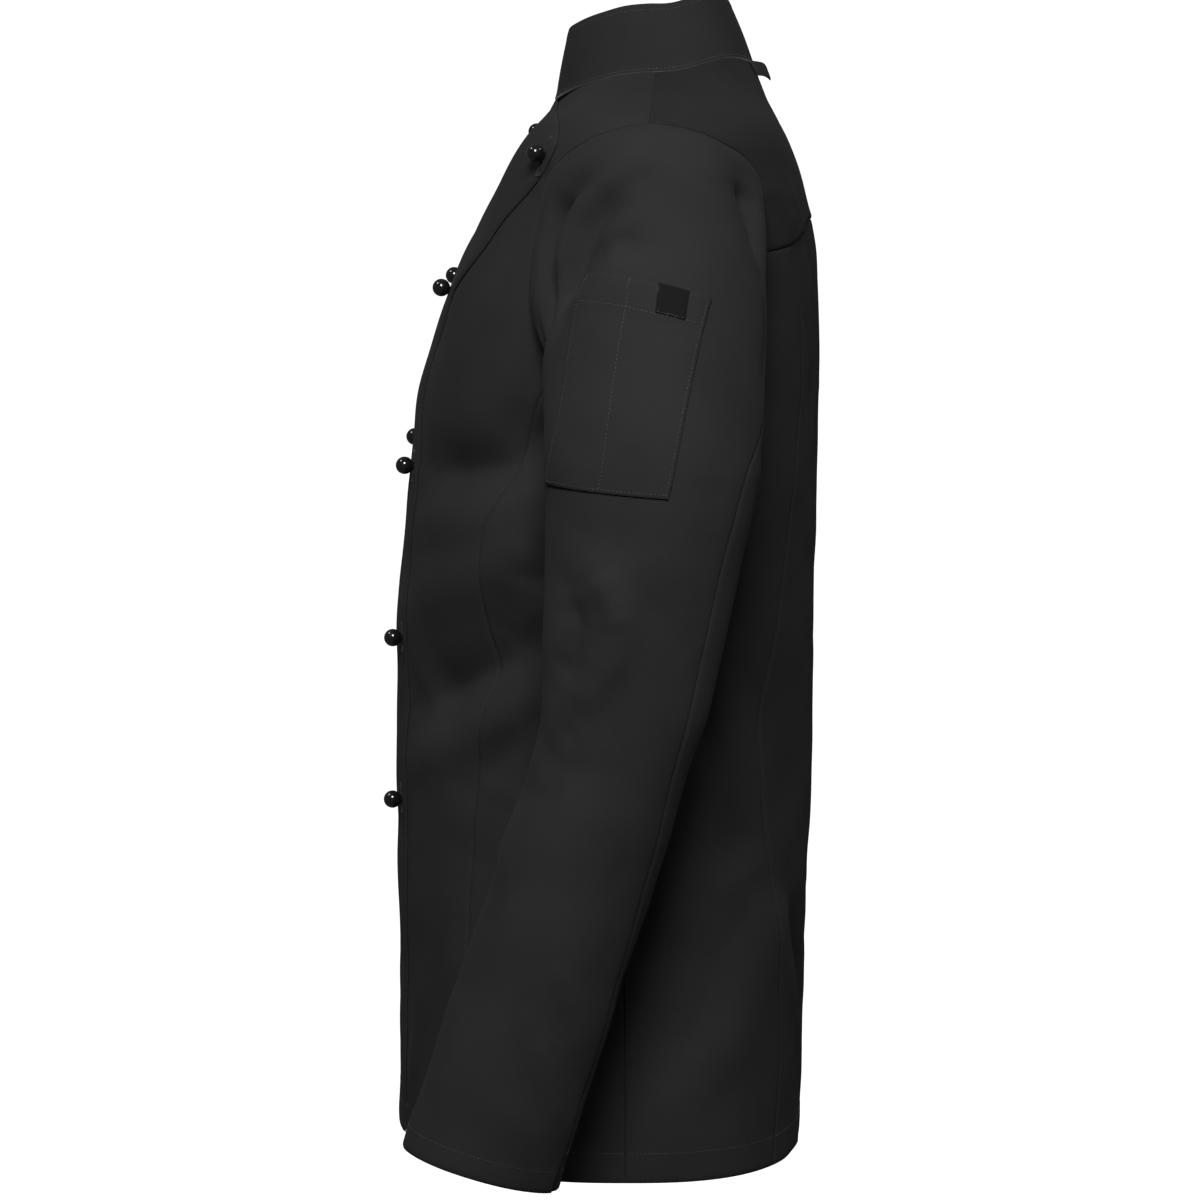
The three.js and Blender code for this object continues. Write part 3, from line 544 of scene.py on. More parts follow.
def multiply_add(nodes, links, value, factor, added):
    node = nodes.new("ShaderNodeMath")
    node.operation = "MULTIPLY_ADD"
    links.new(value, node.inputs[0])
    node.inputs[1].default_value = factor
    links.new(added, node.inputs[2])
    return node.outputs[0]


def colour_by(nodes, links, value, low, high, shader, start=0.0):
    """Base colour that runs from low to high as value runs from start to 1."""
    ramp = nodes.new("ShaderNodeValToRGB")
    first, last = ramp.color_ramp.elements
    first.position, first.color = start, (*low, 1)
    last.position, last.color = 1.0, (*high, 1)
    links.new(value, ramp.inputs["Fac"])
    links.new(ramp.outputs["Color"], shader.inputs["Base Color"])


def twill(name, dark, light, pitch, angle=56.0, depth=0.00010):
    """Fine diagonal twill in black cotton: ribs at an angle across the weave, fuzz and slow fading."""
    material, nodes, links, shader = new_material(name)
    coords = nodes.new("ShaderNodeUVMap")
    coords.uv_map = "cloth"
    flat = coords.outputs["UV"]
    turned = nodes.new("ShaderNodeMapping")
    turned.inputs["Rotation"].default_value[2] = math.radians(angle)
    links.new(flat, turned.inputs["Vector"])
    ribs = nodes.new("ShaderNodeTexWave")
    ribs.wave_type, ribs.bands_direction, ribs.wave_profile = "BANDS", "X", "SIN"
    set_sockets(ribs, {"Scale": 2 * math.pi / (20 * pitch * MM), "Distortion": 0.8, "Detail": 2, "Detail Scale": 1.5})
    links.new(turned.outputs["Vector"], ribs.inputs["Vector"])
    fuzz = noise_on(nodes, links, flat, {"Scale": 700, "Detail": 4})
    fade = noise_on(nodes, links, flat, {"Scale": 12, "Detail": 5})
    rough = multiply_add(nodes, links, fuzz, 0.7, ribs.outputs["Fac"])
    mixed = multiply_add(nodes, links, rough, 0.3, fade)
    colour_by(nodes, links, mixed, dark, light, shader, start=0.3)
    bump = nodes.new("ShaderNodeBump")
    set_sockets(bump, {"Strength": 0.45, "Distance": depth})
    links.new(rough, bump.inputs["Height"])
    links.new(bump.outputs["Normal"], shader.inputs["Normal"])
    set_sockets(shader, {"Roughness": 0.88, "Specular IOR Level": 0.1, "Sheen Weight": 0.015, "Sheen Roughness": 0.5,
                         "Sheen Tint": (0.8, 0.82, 0.86, 1)})
    return material


def thread(name, tone):
    material, nodes, links, shader = new_material(name)
    place = nodes.new("ShaderNodeTexCoord").outputs["Object"]
    noise = noise_on(nodes, links, place, {"Scale": 900})
    colour_by(nodes, links, noise, (tone * 0.7, tone * 0.7, tone * 0.72), (tone * 1.3, tone * 1.3, tone * 1.33), shader)
    set_sockets(shader, {"Roughness": 0.55, "Sheen Weight": 0.2})
    return material


def ball_plastic():
    material, nodes, links, shader = new_material("stud_plastic")
    place = nodes.new("ShaderNodeTexCoord").outputs["Object"]
    noise = noise_on(nodes, links, place, {"Scale": 260, "Detail": 3})
    rough = nodes.new("ShaderNodeMapRange")
    set_sockets(rough, {"To Min": 0.10, "To Max": 0.20})
    links.new(noise, rough.inputs["Value"])
    links.new(rough.outputs["Result"], shader.inputs["Roughness"])
    colour_by(nodes, links, noise, (0.004, 0.004, 0.0045), (0.009, 0.009, 0.010), shader)
    set_sockets(shader, {"Coat Weight": 0.6, "Coat Roughness": 0.06})
    return material


def shades(factor):
    """Dark and light tone of the black cloth at a factor: under 1 on the yoke and collar it darkens copies of the same
    twill, painted shade; the label's factor is its own darker weave.
    """
    return tuple(factor * c for c in (0.0155, 0.0155, 0.0160)), tuple(factor * c for c in (0.0275, 0.0275, 0.0283))


CLOTH = twill("black_twill", *shades(1.0), 0.8)
# The yoke and collar are the same twill as the body, painted darker: painted shade.
SHADED_YOKE_TWILL = twill("yoke_twill_painted_shade", *shades(0.78), 0.8, angle=128.0)
SHADED_COLLAR_TWILL = twill("collar_twill_painted_shade", *shades(0.95), 0.8, angle=118.0)
# The label's own near-black weave, also laid in the buttonhole slits as painted shade.
LABEL_AND_SLIT_SHADE_CLOTH = twill("label_weave_and_slit_shade", *shades(0.35), 0.5, angle=0.0, depth=0.00006)
# All stitching is the same black thread as the cloth; these two are painted lighter than it, a painted highlight of
# thread catching light.
LIT_STITCHING = thread("seam_thread_painted_highlight", 0.05)
BRIGHT_LIT_STITCHING = thread("edge_thread_painted_highlight", 0.17)
# This copy is painted darker than the cloth: painted shade on sunk stitches and on the tubes in the seams.
SHADED_STITCHING = thread("thread_painted_shade", 0.006)
BALL = ball_plastic()

# Body panels.

FINE = 7
HEM = ("bottom", 19, 0.2)
LOWER, SHOULDER = 20 * FINE, 5 * FINE


def lap_step(turn, up):
    since, wide = NECK_SINK
    sink = ease((up - since) / (NECK - since)) * ease((wide - np.abs(turn)) / 40)
    return LAYER * ease((turn + 55) / 110) * (1 - sink)


arm_fine = arm_place(np.linspace(0, ARM_TIP, ARM_TIP * FINE + 1))
front_ups = np.concatenate([rounded(LOWER, 0, ARMHOLE[0][1])[:-3], arm_fine[:, 1],
                            rounded(SHOULDER, ARMHOLE[ARM_TIP][1], NECK)[3:]])
front_sides = np.concatenate([front_seam(rounded(LOWER, 0, ARMHOLE[0][1])[:-3]), arm_fine[:, 0],
                              np.full(SHOULDER + 2, ARMHOLE[ARM_TIP][0])])
FRONT_COLUMNS, LAP_COLUMNS = 26, 50


def front_grid(low_of, high_of, split_of, first, second):
    rows = []
    for up, side in zip(front_ups, front_sides):
        low, split, high = low_of(up, side), split_of(up, side), high_of(up, side)
        start, end = rounded(first, low, split)[:-3], rounded(second, split, high)[2:]
        rows.append(np.concatenate([start, [split], end[1:]]))
    a = np.array(rows)
    return a, np.broadcast_to(front_ups[:, None], a.shape)


def fronts():
    edge = lambda up, side: float(front_edge(up))
    over_a, over_b = front_grid(lambda up, side: -side, edge, lambda up, side: -edge(up, side),
                                FRONT_COLUMNS, LAP_COLUMNS)
    over = panel("front_right_cloth", body, over_a, over_b, lap_step(over_a, over_b), WALL, CLOTH, "front_right",
                 bands=[HEM], thin="right", rests_on=["yoke_cloth"])
    under_a, under_b = front_grid(lambda up, side: -edge(up, side), lambda up, side: side, edge,
                                  LAP_COLUMNS, FRONT_COLUMNS)
    under = panel("front_left_cloth", body, under_a, under_b, lap_step(under_a, under_b) - LAYER, WALL, CLOTH,
                  "front_left", bands=[HEM], rests_on=["yoke_cloth"])
    return over, under


def coons(bottom, top, left, right):
    """Grid of places between four edges of places, by the lengths of the edges."""
    def shares(edge):
        total = lengths_along(edge * [PER_TURN, 1])
        return total / total[-1]
    t = ((shares(left) + shares(right)) / 2)[:, None, None]
    s = ((shares(bottom) + shares(top)) / 2)[None, :, None]
    corners = ((1 - s) * (1 - t) * bottom[0] + s * (1 - t) * bottom[-1] + (1 - s) * t * top[0] + s * t * top[-1])
    places = (1 - s) * left[:, None] + s * right[:, None] + (1 - t) * bottom[None] + t * top[None] - corners
    return places[..., 0], places[..., 1]


def resample(edge, count):
    """An edge of places with rounded spacing, for facing edges with unlike counts."""
    total = lengths_along(edge * [PER_TURN, 1])
    at = rounded(count, 0, total[-1])
    return np.stack([np.interp(at, total, edge[:, k]) for k in range(2)], -1)


def pairs(first, second):
    return np.stack(np.broadcast_arrays(np.asarray(first, float), np.asarray(second, float)), -1)


def arm_edge(low, high):
    return arm_place(np.linspace(low, high, abs(high - low) * FINE + 1))


SIDE_CELLS, BACK_CELLS = 28, 96
pit_up = float(ARMHOLE[ARM_PIT][1])
top_turn = BACK_SEAM[-1][1]
arm_turn = float(ARMHOLE[ARM_YOKE][0])


def side_front_places():
    ups = rounded(LOWER, 0, 1)
    left = pairs(front_seam(ups * ARMHOLE[0][1]), ups * ARMHOLE[0][1])
    right = pairs(side_seam(ups * pit_up), ups * pit_up)
    top = resample(arm_edge(ARM_PIT, ARM_ROWS)[::-1], SIDE_CELLS)
    bottom = pairs(rounded(SIDE_CELLS, front_seam(0), side_seam(0)), 0)
    return coons(bottom, top, left, right)


def side_back_places():
    lower = pairs(side_seam(spread(LOWER, 0, pit_up)), spread(LOWER, 0, pit_up))
    left = resample(np.concatenate([lower, arm_edge(ARM_YOKE, ARM_PIT)[::-1][1:]]), LOWER + 5 * FINE)
    turns = rounded(SIDE_CELLS, arm_turn, top_turn)
    top = pairs(turns, yoke_edge(turns))
    ups = rounded(LOWER + 5 * FINE, 0, float(yoke_edge(top_turn)))
    right = pairs(back_seam(ups), ups)
    bottom = pairs(rounded(SIDE_CELLS, side_seam(0), back_seam(0)), 0)
    return coons(bottom, top, left, right)


def fold_turn(turn):
    return np.where(turn > 180, 360 - turn, turn)


def back_places():
    ups = rounded(LOWER + 5 * FINE, 0, float(yoke_edge(top_turn)))
    left = pairs(back_seam(ups), ups)
    right = pairs(360 - back_seam(ups), ups)
    turns = rounded(BACK_CELLS, top_turn, 360 - top_turn)
    top = pairs(turns, yoke_edge(fold_turn(turns)))
    bottom = pairs(rounded(BACK_CELLS, float(back_seam(0)), 360 - float(back_seam(0))), 0)
    return coons(bottom, top, left, right)


def yoke_places():
    cells = BACK_CELLS + 2 * SIDE_CELLS
    turns = rounded(cells, arm_turn, 360 - arm_turn)
    bottom = pairs(turns, yoke_edge(fold_turn(turns)))
    tip = float(ARMHOLE[ARM_TIP][0])
    shoulder = pairs(tip, spread(SHOULDER, ARMHOLE[ARM_TIP][1], NECK)[1:])
    left = resample(np.concatenate([arm_edge(ARM_TIP, ARM_YOKE)[::-1], shoulder]), 13 * FINE)
    right = pairs(360 - left[:, 0], left[:, 1])
    top = pairs(rounded(cells, tip, 360 - tip), NECK)
    return coons(bottom, top, left, right)


def both_sides(places, piece, rests_on):
    """A panel on the wearer's left and its mirror image on the right."""
    a, b = places
    return [panel(f"{piece}_{which}_cloth", body, turn, up, 0.0, WALL, CLOTH, f"{piece}_{which}", bands=[HEM],
                  rests_on=[rest])
            for which, turn, up, rest in zip(("left", "right"), (a, -a[:, ::-1]), (b, b[:, ::-1]), rests_on)]


over_grid, under_grid = fronts()
side_front, side_front_far = both_sides(side_front_places(), "side_front", ("front_left_cloth", "front_right_cloth"))
side_back, side_back_far = both_sides(side_back_places(), "side_back", ("yoke_cloth", "yoke_cloth"))
back_grid = panel("back_centre_cloth", body, *back_places(), 0.0, WALL, CLOTH, "back_centre", bands=[HEM],
                  rests_on=["yoke_cloth"])
a, b = yoke_places()
above = b - yoke_edge(np.clip(fold_turn(a), arm_turn, 180))
yoke_grid = panel("yoke_cloth", body, a, b, YOKE_STEP * np.exp(-np.maximum(0, above) / YOKE_FADE), WALL, SHADED_YOKE_TWILL,
                  "yoke")

# Sleeves.

VENT = 404                   # the cuff's vent opens below this
CUFF_STITCH = 14


def sleeve_grid(which, piece):
    tube, head = rounded(19 * FINE, SLEEVE_LENGTH, 0)[:-3], rounded(8 * 8, 0, -HEAD)[3:]
    downs = np.concatenate([tube, [0], head])
    open_by = ease((downs - VENT) / 26)
    seam = sleeve_seam(downs)
    if piece == "top":
        low, high, cells = np.zeros(len(downs)), seam - 0.022 * open_by, 16 * 4
    else:
        low, high, cells = seam - 0.045 * open_by, np.full(len(downs), 2.0), 9 * 5
    t = rounded(cells, 0, 1)[None]
    sides = low[:, None] + (high - low)[:, None] * t
    down = np.broadcast_to(downs[:, None], sides.shape)
    tuck = np.zeros(sides.shape)
    if piece == "under":
        tuck = -2.3 * open_by[:, None] * (1 - ease(t / 0.12))
    node = f"sleeve_{which}_{piece}"
    hangs = "yoke_cloth" if piece == "top" else f"side_back_{which}_cloth"
    return panel(f"{node}_cloth", SLEEVES[which], sides, down, tuck, WALL, CLOTH, node,
                 bands=[("bottom", CUFF_STITCH, 0.2)], mirrored=which == "right", rests_on=[hangs], scale=PER_SIDE)


sleeve_grids = {}
for which in SLEEVES:
    for piece in ("top", "under"):
        sleeve_grids[which, piece] = sleeve_grid(which, piece)


def sleeve_patch(node, corners, cells, wall, gap, material, rests_on, bands=(), form=None):
    """A patch between four corners on the left sleeve; form shapes a pocket, which also sags."""
    (s1, d1), (s2, d2), (s3, d3), (s4, d4) = corners
    t = rounded(cells[1], 0, 1)[:, None]
    s = rounded(cells[0], 0, 1)[None]
    side = (s1 + (s2 - s1) * s) * (1 - t) + (s4 + (s3 - s4) * s) * t
    down = (d1 + (d2 - d1) * s) * (1 - t) + (d4 + (d3 - d4) * s) * t
    out = np.full(side.shape, gap + wall)
    if form:
        out = out + form(s, t)
        down = down + POCKET["sag"] * t * np.sin(math.pi * s)
    return panel(f"{node}_cloth", SLEEVES["left"], side, down, out, wall, material, node, bands=bands,
                 rests_on=[rests_on], scale=PER_SIDE)


def slot_share(t):
    return 0.56 + (0.38 - 0.56) * t


def pocket_form(s, t):
    """The pocket's mouth stands off a little, and its slot stitching draws it in."""
    mouth = 1.4 * ease((t - 0.8) / 0.2) * np.sin(math.pi * np.clip(s, 0, 1)) ** 0.6
    slot = -0.30 * np.exp(-((s - slot_share(t)) / 0.02) ** 2)
    sag = 0.5 * np.sin(math.pi * s) * np.sin(math.pi * np.clip(t, 0, 1))
    return mouth + slot + sag


POCKET_BAND, POCKET_STITCH = 19, 2.2
pocket_grid = sleeve_patch("sleeve_pocket", POCKET_CORNERS, (34, 40), POCKET["wall"], POCKET["gap"], CLOTH,
                           "sleeve_left_top_cloth",
                           [(edge, POCKET_STITCH, 0.15) for edge in ("left", "right", "bottom")]
                           + [("top", POCKET_BAND, 0.4)], pocket_form)
label_out = POCKET["gap"] + POCKET["wall"] + LABEL["gap"] + 0.9
label_grid = sleeve_patch("pocket_label", LABEL_CORNERS, (16, 16), LABEL["wall"], label_out, LABEL_AND_SLIT_SHADE_CLOTH,
                          "sleeve_pocket_cloth")

# Collar and hanging loop.


def collar_grid(inward, levels, turns):
    ahead = np.cos(np.radians(turns))[None]
    side = np.abs(np.sin(np.radians(turns)))[None]
    base = body(turns[None], np.full((1, len(turns)), float(NECK)), np.zeros((1, len(turns))))
    out = np.stack([base[..., 0], base[..., 1] + 1, np.zeros(base.shape[:2])], -1)
    out = out / np.linalg.norm(out, axis=-1, keepdims=True)
    lean = (COLLAR_LEAN["front"] * np.maximum(0, ahead) ** 2 + COLLAR_LEAN["side"] * side ** 2
            + COLLAR_LEAN["back"] * np.maximum(0, -ahead) ** 2)
    tall = COLLAR["back"] + (COLLAR["front"] - COLLAR["back"]) * (1 + ahead) / 2
    corner = np.where(ahead > 0, COLLAR["drop"] * np.maximum(0, 1 - np.abs(base[..., 0]) / COLLAR["reach"]) ** 2, 0)
    level = levels[:, None]
    height = (tall - corner) * level
    roll = 0.8 * np.sin(math.pi * level) + 0.12 * unevenness(turns[None] * COLLAR_PER_TURN, height, 2.2)
    foot = np.exp(-(height / 1.6) ** 2) * np.where(np.asarray(inward) < COLLAR["wall"] / 2, 1, 0)
    grid = np.repeat(base, len(levels), axis=0) + out * (roll - lean * level - inward + 0.8 * foot)[..., None]
    grid[..., 2] += COLLAR["gap"] + height - 1.1 * foot
    return grid


levels, turns = rounded(16, 0, 1), rounded(220, COLLAR["end"], 360 - COLLAR["end"])
plain = collar_grid(np.zeros((len(levels), len(turns))), levels, turns)
left, right, bottom, top = rim_distance(plain)
near = np.minimum(np.minimum(left, right), top)
ridge = -0.75 * np.exp(-(near / 0.8) ** 2) + band(near, 3.8, 0.25) - 0.3 * np.exp(-(bottom / 0.9) ** 2)
ridge = ridge + band(bottom, 2.2, 0.15)
collar_outer = collar_grid(-ridge, levels, turns)
collar_inner = collar_grid(COLLAR["wall"] + 0.5 * ridge, levels, turns)
collar = shell("collar_cloth", collar_outer, collar_inner, np.broadcast_to(turns * COLLAR_PER_TURN, left.shape),
               bottom, SHADED_COLLAR_TWILL)
collar_length = float(run_lengths(collar_outer, 1)[:, -1].max())
declare(collar, "collar", collar_length, float(COLLAR["front"]),
        float(collar_length * (COLLAR["front"] + COLLAR["back"]) / 2), ["yoke_cloth"])


def loop_grid(inward):
    t = spread(60, 1, -1)[None]
    s = rounded(6, 0, 1)[:, None]
    bow = 1 - t ** 4
    turn = 180 - LOOP["half_turn"] * t
    up = NECK - LOOP["below"] - LOOP["width"] * (1 - s)
    edge = 0.3 * np.exp(-(np.minimum(s, 1 - s) * LOOP["width"] / 0.6) ** 2) * (1 if inward == 0 else 0)
    out = LOOP["gap"] + LOOP["wall"] + LOOP["stand"] * bow - inward - edge
    grid = body(turn + 0 * up, up + 0 * turn, out)
    grid[..., 2] -= LOOP["drop"] * bow
    return grid, turn + 0 * up, up + 0 * turn


loop_outer, turn, up = loop_grid(0)
loop = shell("locker_loop_cloth", loop_outer, loop_grid(LOOP["wall"])[0], turn, up, CLOTH)
loop_length = float(run_lengths(loop_outer, 1)[:, -1].max())
declare(loop, "locker_loop", LOOP["width"] + 2, loop_length, LOOP["width"] * loop_length, ["yoke_cloth"])

# Stitches.


def along_edge(grid, edge, inset, start=0.0, end=1.0):
    """A line on the outer grid at a distance from one edge, with its outward normals."""
    flip = 1
    if edge in ("bottom", "top"):
        grid, flip = grid.transpose(1, 0, 2), -1
    if edge in ("right", "top"):
        grid, flip = grid[:, ::-1], -flip
    total = run_lengths(grid, 1)
    k = np.clip((total < inset).sum(1), 1, grid.shape[1] - 1)
    rows = np.arange(grid.shape[0])
    w = ((inset - total[rows, k - 1]) / np.maximum(total[rows, k] - total[rows, k - 1], 1e-6))[:, None]
    w = np.clip(w, 0, 1)
    line = grid[rows, k - 1] * (1 - w) + grid[rows, k] * w
    normal = unit(np.cross(grid[rows, k] - grid[rows, k - 1], np.gradient(grid, axis=0)[rows, k]) * flip)
    low, high = int(start * (len(line) - 1)), int(end * (len(line) - 1)) + 1
    return line[low:high], normal[low:high]


STITCH = {"length": 1.7, "pitch": 2.5, "width": 0.38, "height": 0.2}
# place along a stitch, half width and rise of each of its rings, as shares of its sizes
STITCH_RINGS = [(-0.5, 0.3, -0.12), (-0.32, 0.5, 0.24), (0.32, 0.5, 0.24), (0.5, 0.3, -0.12)]


def walk(line, normal, pitch):
    """Stations at a pitch along a line, with the way ahead and the normal there."""
    total = lengths_along(line)
    at = np.arange(pitch, total[-1] - pitch / 2, pitch)
    place, ahead, away = (np.stack([np.interp(x, total, column) for column in rows.T], -1)
                          for x, rows in ((at, line), (at + 0.5, line), (at, normal)))
    return place, ahead - place, away


def stitch_mesh(name, lines, material, length=STITCH["length"], pitch=STITCH["pitch"], width=STITCH["width"],
                across=False):
    """Short sunk bars of thread along lines; across turns them over the line, as round a buttonhole."""
    vertices, faces = [], []
    for line, normal in lines:
        place, along, away = walk(np.asarray(line), np.asarray(normal), pitch)
        along = unit(along)
        away = unit(away - (away * along).sum(-1, keepdims=True) * along)
        sideways = np.cross(away, along)
        if across:
            along, sideways = sideways, -along
        for p, f, s, n in zip(place, along, sideways, away):
            first = len(vertices)
            for reach, wide, high in STITCH_RINGS:
                middle = p + f * reach * length
                vertices.append(middle - s * wide * width - n * 0.12)
                vertices.append(middle + n * high * STITCH["height"] * 3)
                vertices.append(middle + s * wide * width - n * 0.12)
            for k in range(3):
                base = first + 3 * k
                faces += [(base, base + 3, base + 4, base + 1), (base + 1, base + 4, base + 5, base + 2)]
            faces += [(first, first + 1, first + 2), (first + 11, first + 10, first + 9)]
    ride_cloth(add_mesh(name, np.array(vertices), faces, material))


hems = [along_edge(grid, "bottom", HEM[1]) for grid in
        (over_grid, under_grid, side_front, side_back, side_front_far, side_back_far, back_grid)]
for which in ("left", "right"):
    hems += [along_edge(sleeve_grids[which, piece], "bottom", CUFF_STITCH) for piece in ("top", "under")]
stitch_mesh("hem_stitches", hems, LIT_STITCHING)
stitch_mesh("shoulder_stitches", [along_edge(yoke_grid, edge, 1.0, 0.42, 0.66) for edge in ("left", "right")],
            SHADED_STITCHING)
COLLAR_STITCH = {"edge": 4.2, "foot": 2.4}
collar_lines = [along_edge(collar_outer, "top", COLLAR_STITCH["edge"]),
                along_edge(collar_outer, "bottom", COLLAR_STITCH["foot"])]
collar_lines += [along_edge(collar_outer, edge, COLLAR_STITCH["edge"], 0.2, 0.9) for edge in ("left", "right")]
stitch_mesh("collar_stitches", collar_lines, LIT_STITCHING)

# Turnings: tubes inside the armhole and neck seams, in millimetres, painted near black as the seams' painted shade.
TURNING = {"radius": 0.9, "sink": 0.55, "sides": 8}


def painted_seam_shade(name, lines):
    """The folded edges that lie inside a seam, painted near black so that the seam shows a line of painted shade."""
    vertices, faces = [], []
    for line, normal in lines:
        line, away = np.asarray(line, float), np.asarray(normal, float)
        sideways = np.cross(away, unit(np.gradient(line, axis=0)))
        first, sides = len(vertices), TURNING["sides"]
        for k in range(sides):
            angle = 2 * math.pi * k / sides
            ring = away * (math.cos(angle) * TURNING["radius"] - TURNING["sink"])
            vertices += list(line + ring + sideways * math.sin(angle) * TURNING["radius"])
        vertices_in_line = len(line)
        for k in range(sides):
            a, b = first + k * vertices_in_line, first + (k + 1) % sides * vertices_in_line
            faces += [(a + i, a + i + 1, b + i + 1, b + i) for i in range(vertices_in_line - 1)]
    ride_cloth(add_mesh(name, np.array(vertices), faces, SHADED_STITCHING))


for which in ("left", "right"):
    painted_seam_shade(f"armhole_seam_shade_{which}",
             [along_edge(sleeve_grids[which, piece], "top", 0.0) for piece in ("top", "under")])
painted_seam_shade("neck_seam_shade", [along_edge(collar_outer, "bottom", 0.0)])


def pocket_line(share, low=0.0, high=1.0, count=60):
    """A line up the pocket at a share of its width that may change with height."""
    t = np.linspace(low, high, count)
    rows, columns = t * (pocket_grid.shape[0] - 1), share(t) * (pocket_grid.shape[1] - 1)
    i = np.minimum(rows.astype(int), pocket_grid.shape[0] - 2)
    j = np.minimum(columns.astype(int), pocket_grid.shape[1] - 2)
    u, v = (rows - i)[:, None], (columns - j)[:, None]
    corner = [pocket_grid[i + m, j + n] for m, n in ((0, 0), (0, 1), (1, 0), (1, 1))]
    line = (corner[0] * (1 - u) * (1 - v) + corner[1] * (1 - u) * v + corner[2] * u * (1 - v) + corner[3] * u * v)
    return line, unit(np.cross(corner[1] - corner[0], corner[2] - corner[0]))


pocket_lines = [along_edge(pocket_grid, edge, POCKET_STITCH) for edge in ("left", "right", "bottom")]
pocket_lines += [along_edge(pocket_grid, "top", POCKET_BAND), pocket_line(slot_share, 0.02, 0.9)]
stitch_mesh("pocket_stitches", pocket_lines, LIT_STITCHING)
stitch_mesh("label_stitches", [along_edge(label_grid, "bottom", 0.8)], BRIGHT_LIT_STITCHING, length=1.0, pitch=1.5, width=0.3)


def short_line(surface, start, end, out, count=24):
    s = np.linspace(0, 1, count)
    a = start[0] + (end[0] - start[0]) * s
    b = start[1] + (end[1] - start[1]) * s
    return surface(a, b, np.full(count, out)), normals(lambda p, q: surface(p, q, np.zeros(np.shape(p))), a, b, 0.01,
                                                       0.4 if surface is body else -0.4)


# Buttonholes run along the lap's edge beside the top studs and upright beside the others.
HOLE = {"length": 19, "half": 0.9, "below": 9}
BAR_REACH = 1.7
SLANT = {"left_1": 2.6, "right_1": -2.6, "left_2": 2.0, "right_2": -2.0}
hole_lines, bars, slit_shades = [], [], []
for name, (turn, up) in STUDS.items():
    out = float(lap_step(turn, up)) + 0.1
    slant = SLANT.get(name, 0)
    low = (turn - slant / 2, up - HOLE["below"])
    high = (turn + slant / 2, up + HOLE["length"] - HOLE["below"])
    for shift in (-HOLE["half"], HOLE["half"]):
        shift /= PER_TURN
        hole_lines.append(short_line(body, (low[0] + shift, low[1]), (high[0] + shift, high[1]), out))
    for end in (low, high):
        bars.append(short_line(body, (end[0] - BAR_REACH / PER_TURN, end[1]), (end[0] + BAR_REACH / PER_TURN, end[1]),
                               out))
    slit_shades.append((low, high, out))
stitch_mesh("buttonhole_stitches", hole_lines, SHADED_STITCHING, length=1.5, pitch=0.8, width=0.42, across=True)

for share in (0.012, 0.38, 0.988):
    bars.append(pocket_line(lambda t: np.full(np.shape(t), share), 0.91, 0.995))
for which, surface in SLEEVES.items():
    line, normal = short_line(surface, (0.862, VENT + 6), (0.888, VENT + 4), 0.5)
    if which == "right":
        line, normal = line * [-1, 1, 1], normal * [-1, 1, 1]
    bars.append((line, normal))
stitch_mesh("bar_tacks", bars, SHADED_STITCHING, length=1.5, pitch=0.5, width=0.4, across=True)


# Strips of the label's near-black weave laid in each buttonhole: painted shade in the slit.
def slit_shade_mesh():
    vertices, faces = [], []
    for low, high, out in slit_shades:
        first = len(vertices)
        for t in np.linspace(0.06, 0.94, 12):
            turn, up = low[0] + (high[0] - low[0]) * t, low[1] + (high[1] - low[1]) * t
            for shift in (-0.32, 0.32):
                vertices.append(body(turn + shift / PER_TURN, up, out + 0.05))
        faces += [(first + 2 * k, first + 2 * k + 1, first + 2 * k + 3, first + 2 * k + 2) for k in range(11)]
    ride_cloth(add_mesh("buttonhole_slit_shade", np.array(vertices), faces, LABEL_AND_SLIT_SHADE_CLOTH))


slit_shade_mesh()

# Ball studs.


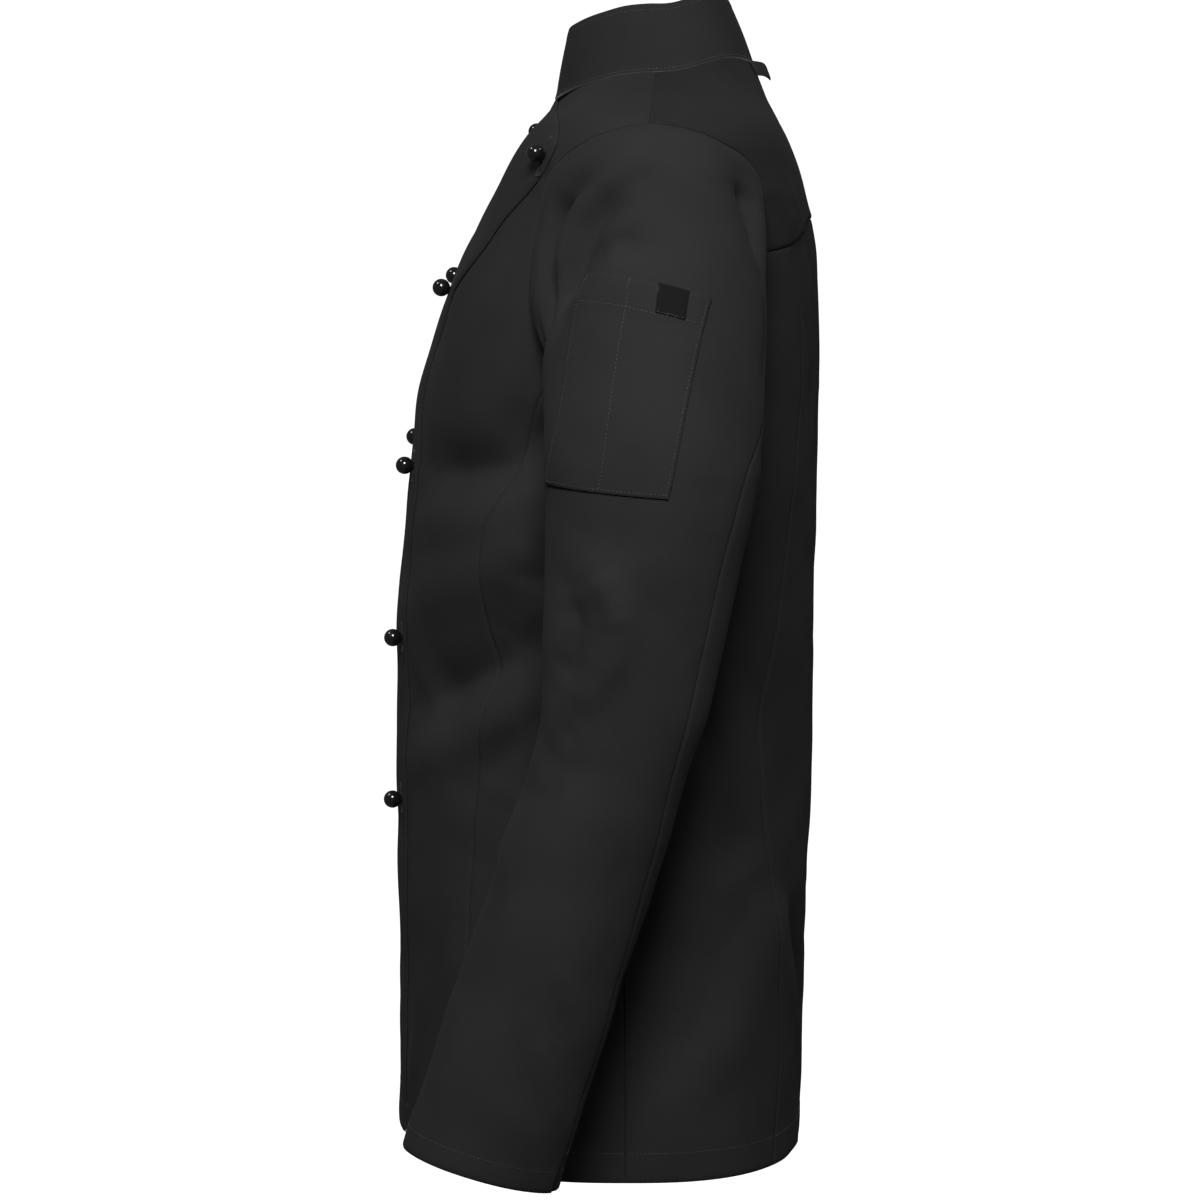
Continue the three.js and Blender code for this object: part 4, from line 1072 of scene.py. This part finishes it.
def stud(name, turn, up):
    foot = body(turn, up, float(lap_step(turn, up)) + STUD["gap"])
    n = normals(body_base, np.array(float(turn)), np.array(float(up)), 0.5, 0.5)
    side = np.cross(n, [0, 0, 1.0])
    side /= np.linalg.norm(side)
    other = np.cross(n, side)
    ball, shank = STUD["ball"], STUD["shank"]
    middle = STUD["length"] + math.sqrt(ball ** 2 - shank ** 2)
    angles = np.linspace(math.asin(shank / ball), math.pi, 22)
    profile = [(shank, -0.6), (shank, 0.0)] + [(ball * math.sin(a), middle - ball * math.cos(a)) for a in angles[:-1]]
    around = np.linspace(0, 2 * math.pi, 41)[:-1]
    rings = [foot + n * h + r * (np.cos(around)[:, None] * side + np.sin(around)[:, None] * other)
             for r, h in profile]
    vertices = np.concatenate(rings + [[foot + n * (middle + ball)], [foot - n * 0.6]])
    count = len(around)
    faces = []
    for k in range(len(profile) - 1):
        for i in range(count):
            j = (i + 1) % count
            faces.append((k * count + i, k * count + j, (k + 1) * count + j, (k + 1) * count + i))
    last, tip = (len(profile) - 1) * count, len(profile) * count
    faces += [(last + i, last + (i + 1) % count, tip) for i in range(count)]
    faces += [((i + 1) % count, i, tip + 1) for i in range(count)]
    obj = add_mesh(f"stud_{name}_ball", vertices, faces, BALL)
    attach(obj, "root")
    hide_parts(f"stud_{name}")


for name, (turn, up) in STUDS.items():
    stud(name, turn, up)

# Studio.


def area_light(name, place, aim, size, power):
    data = bpy.data.lights.new(name, "AREA")
    data.shape, data.size, data.energy = "SQUARE", size, power
    light = bpy.data.objects.new(name, data)
    bpy.context.scene.collection.objects.link(light)
    light.location = place
    x, y, z = (aim[k] - place[k] for k in range(3))
    light.rotation_euler = (math.acos(-z / math.sqrt(x * x + y * y + z * z)), 0, math.atan2(x, -y) + math.pi)


area_light("key", (2.1, -0.12, 1.2), (0.1, 0, -0.3), 0.75, 53)
area_light("front", (0.3, -1.9, 2.1), (0, 0, -0.3), 0.6, 15)
area_light("back", (0.3, 2.1, 1.7), (0, 0, -0.3), 0.8, 8)

world = bpy.data.worlds.new("studio")
world.use_nodes = True
set_sockets(world.node_tree.nodes["Background"], {"Color": (1, 1, 1, 1), "Strength": 0.09})
bpy.context.scene.world = world


def backdrop(name, vertices, faces, glow=1.0):
    """A pale studio surface that shows in the picture and throws no light of its own on the cloth."""
    material, _, _, shader = new_material(name)
    set_sockets(shader, {"Base Color": (0.9, 0.9, 0.9, 1), "Roughness": 0.9, "Emission Color": (1, 1, 1, 1),
                         "Emission Strength": glow})
    obj = add_mesh(name, np.array(vertices, float), faces, material)
    obj.visible_diffuse = obj.visible_glossy = obj.visible_transmission = obj.visible_shadow = False


ROOM = {"reach": 30000, "floor": -1450, "tall": 24000, "sides": 48}
count = ROOM["sides"]
corners = [(ROOM["reach"] * math.cos(2 * math.pi * k / count), ROOM["reach"] * math.sin(2 * math.pi * k / count))
           for k in range(count)]
backdrop("floor", [(x, y, ROOM["floor"]) for x, y in corners], [tuple(range(count))])
wall_points = [(x, y, ROOM["floor"] - 10) for x, y in corners] + [(x, y, ROOM["tall"]) for x, y in corners]
wall_faces = [(k, (k + 1) % count, (k + 1) % count + count, k + count) for k in range(count)]
wall_faces.append(tuple(range(count, 2 * count)))
backdrop("backdrop", wall_points, wall_faces)
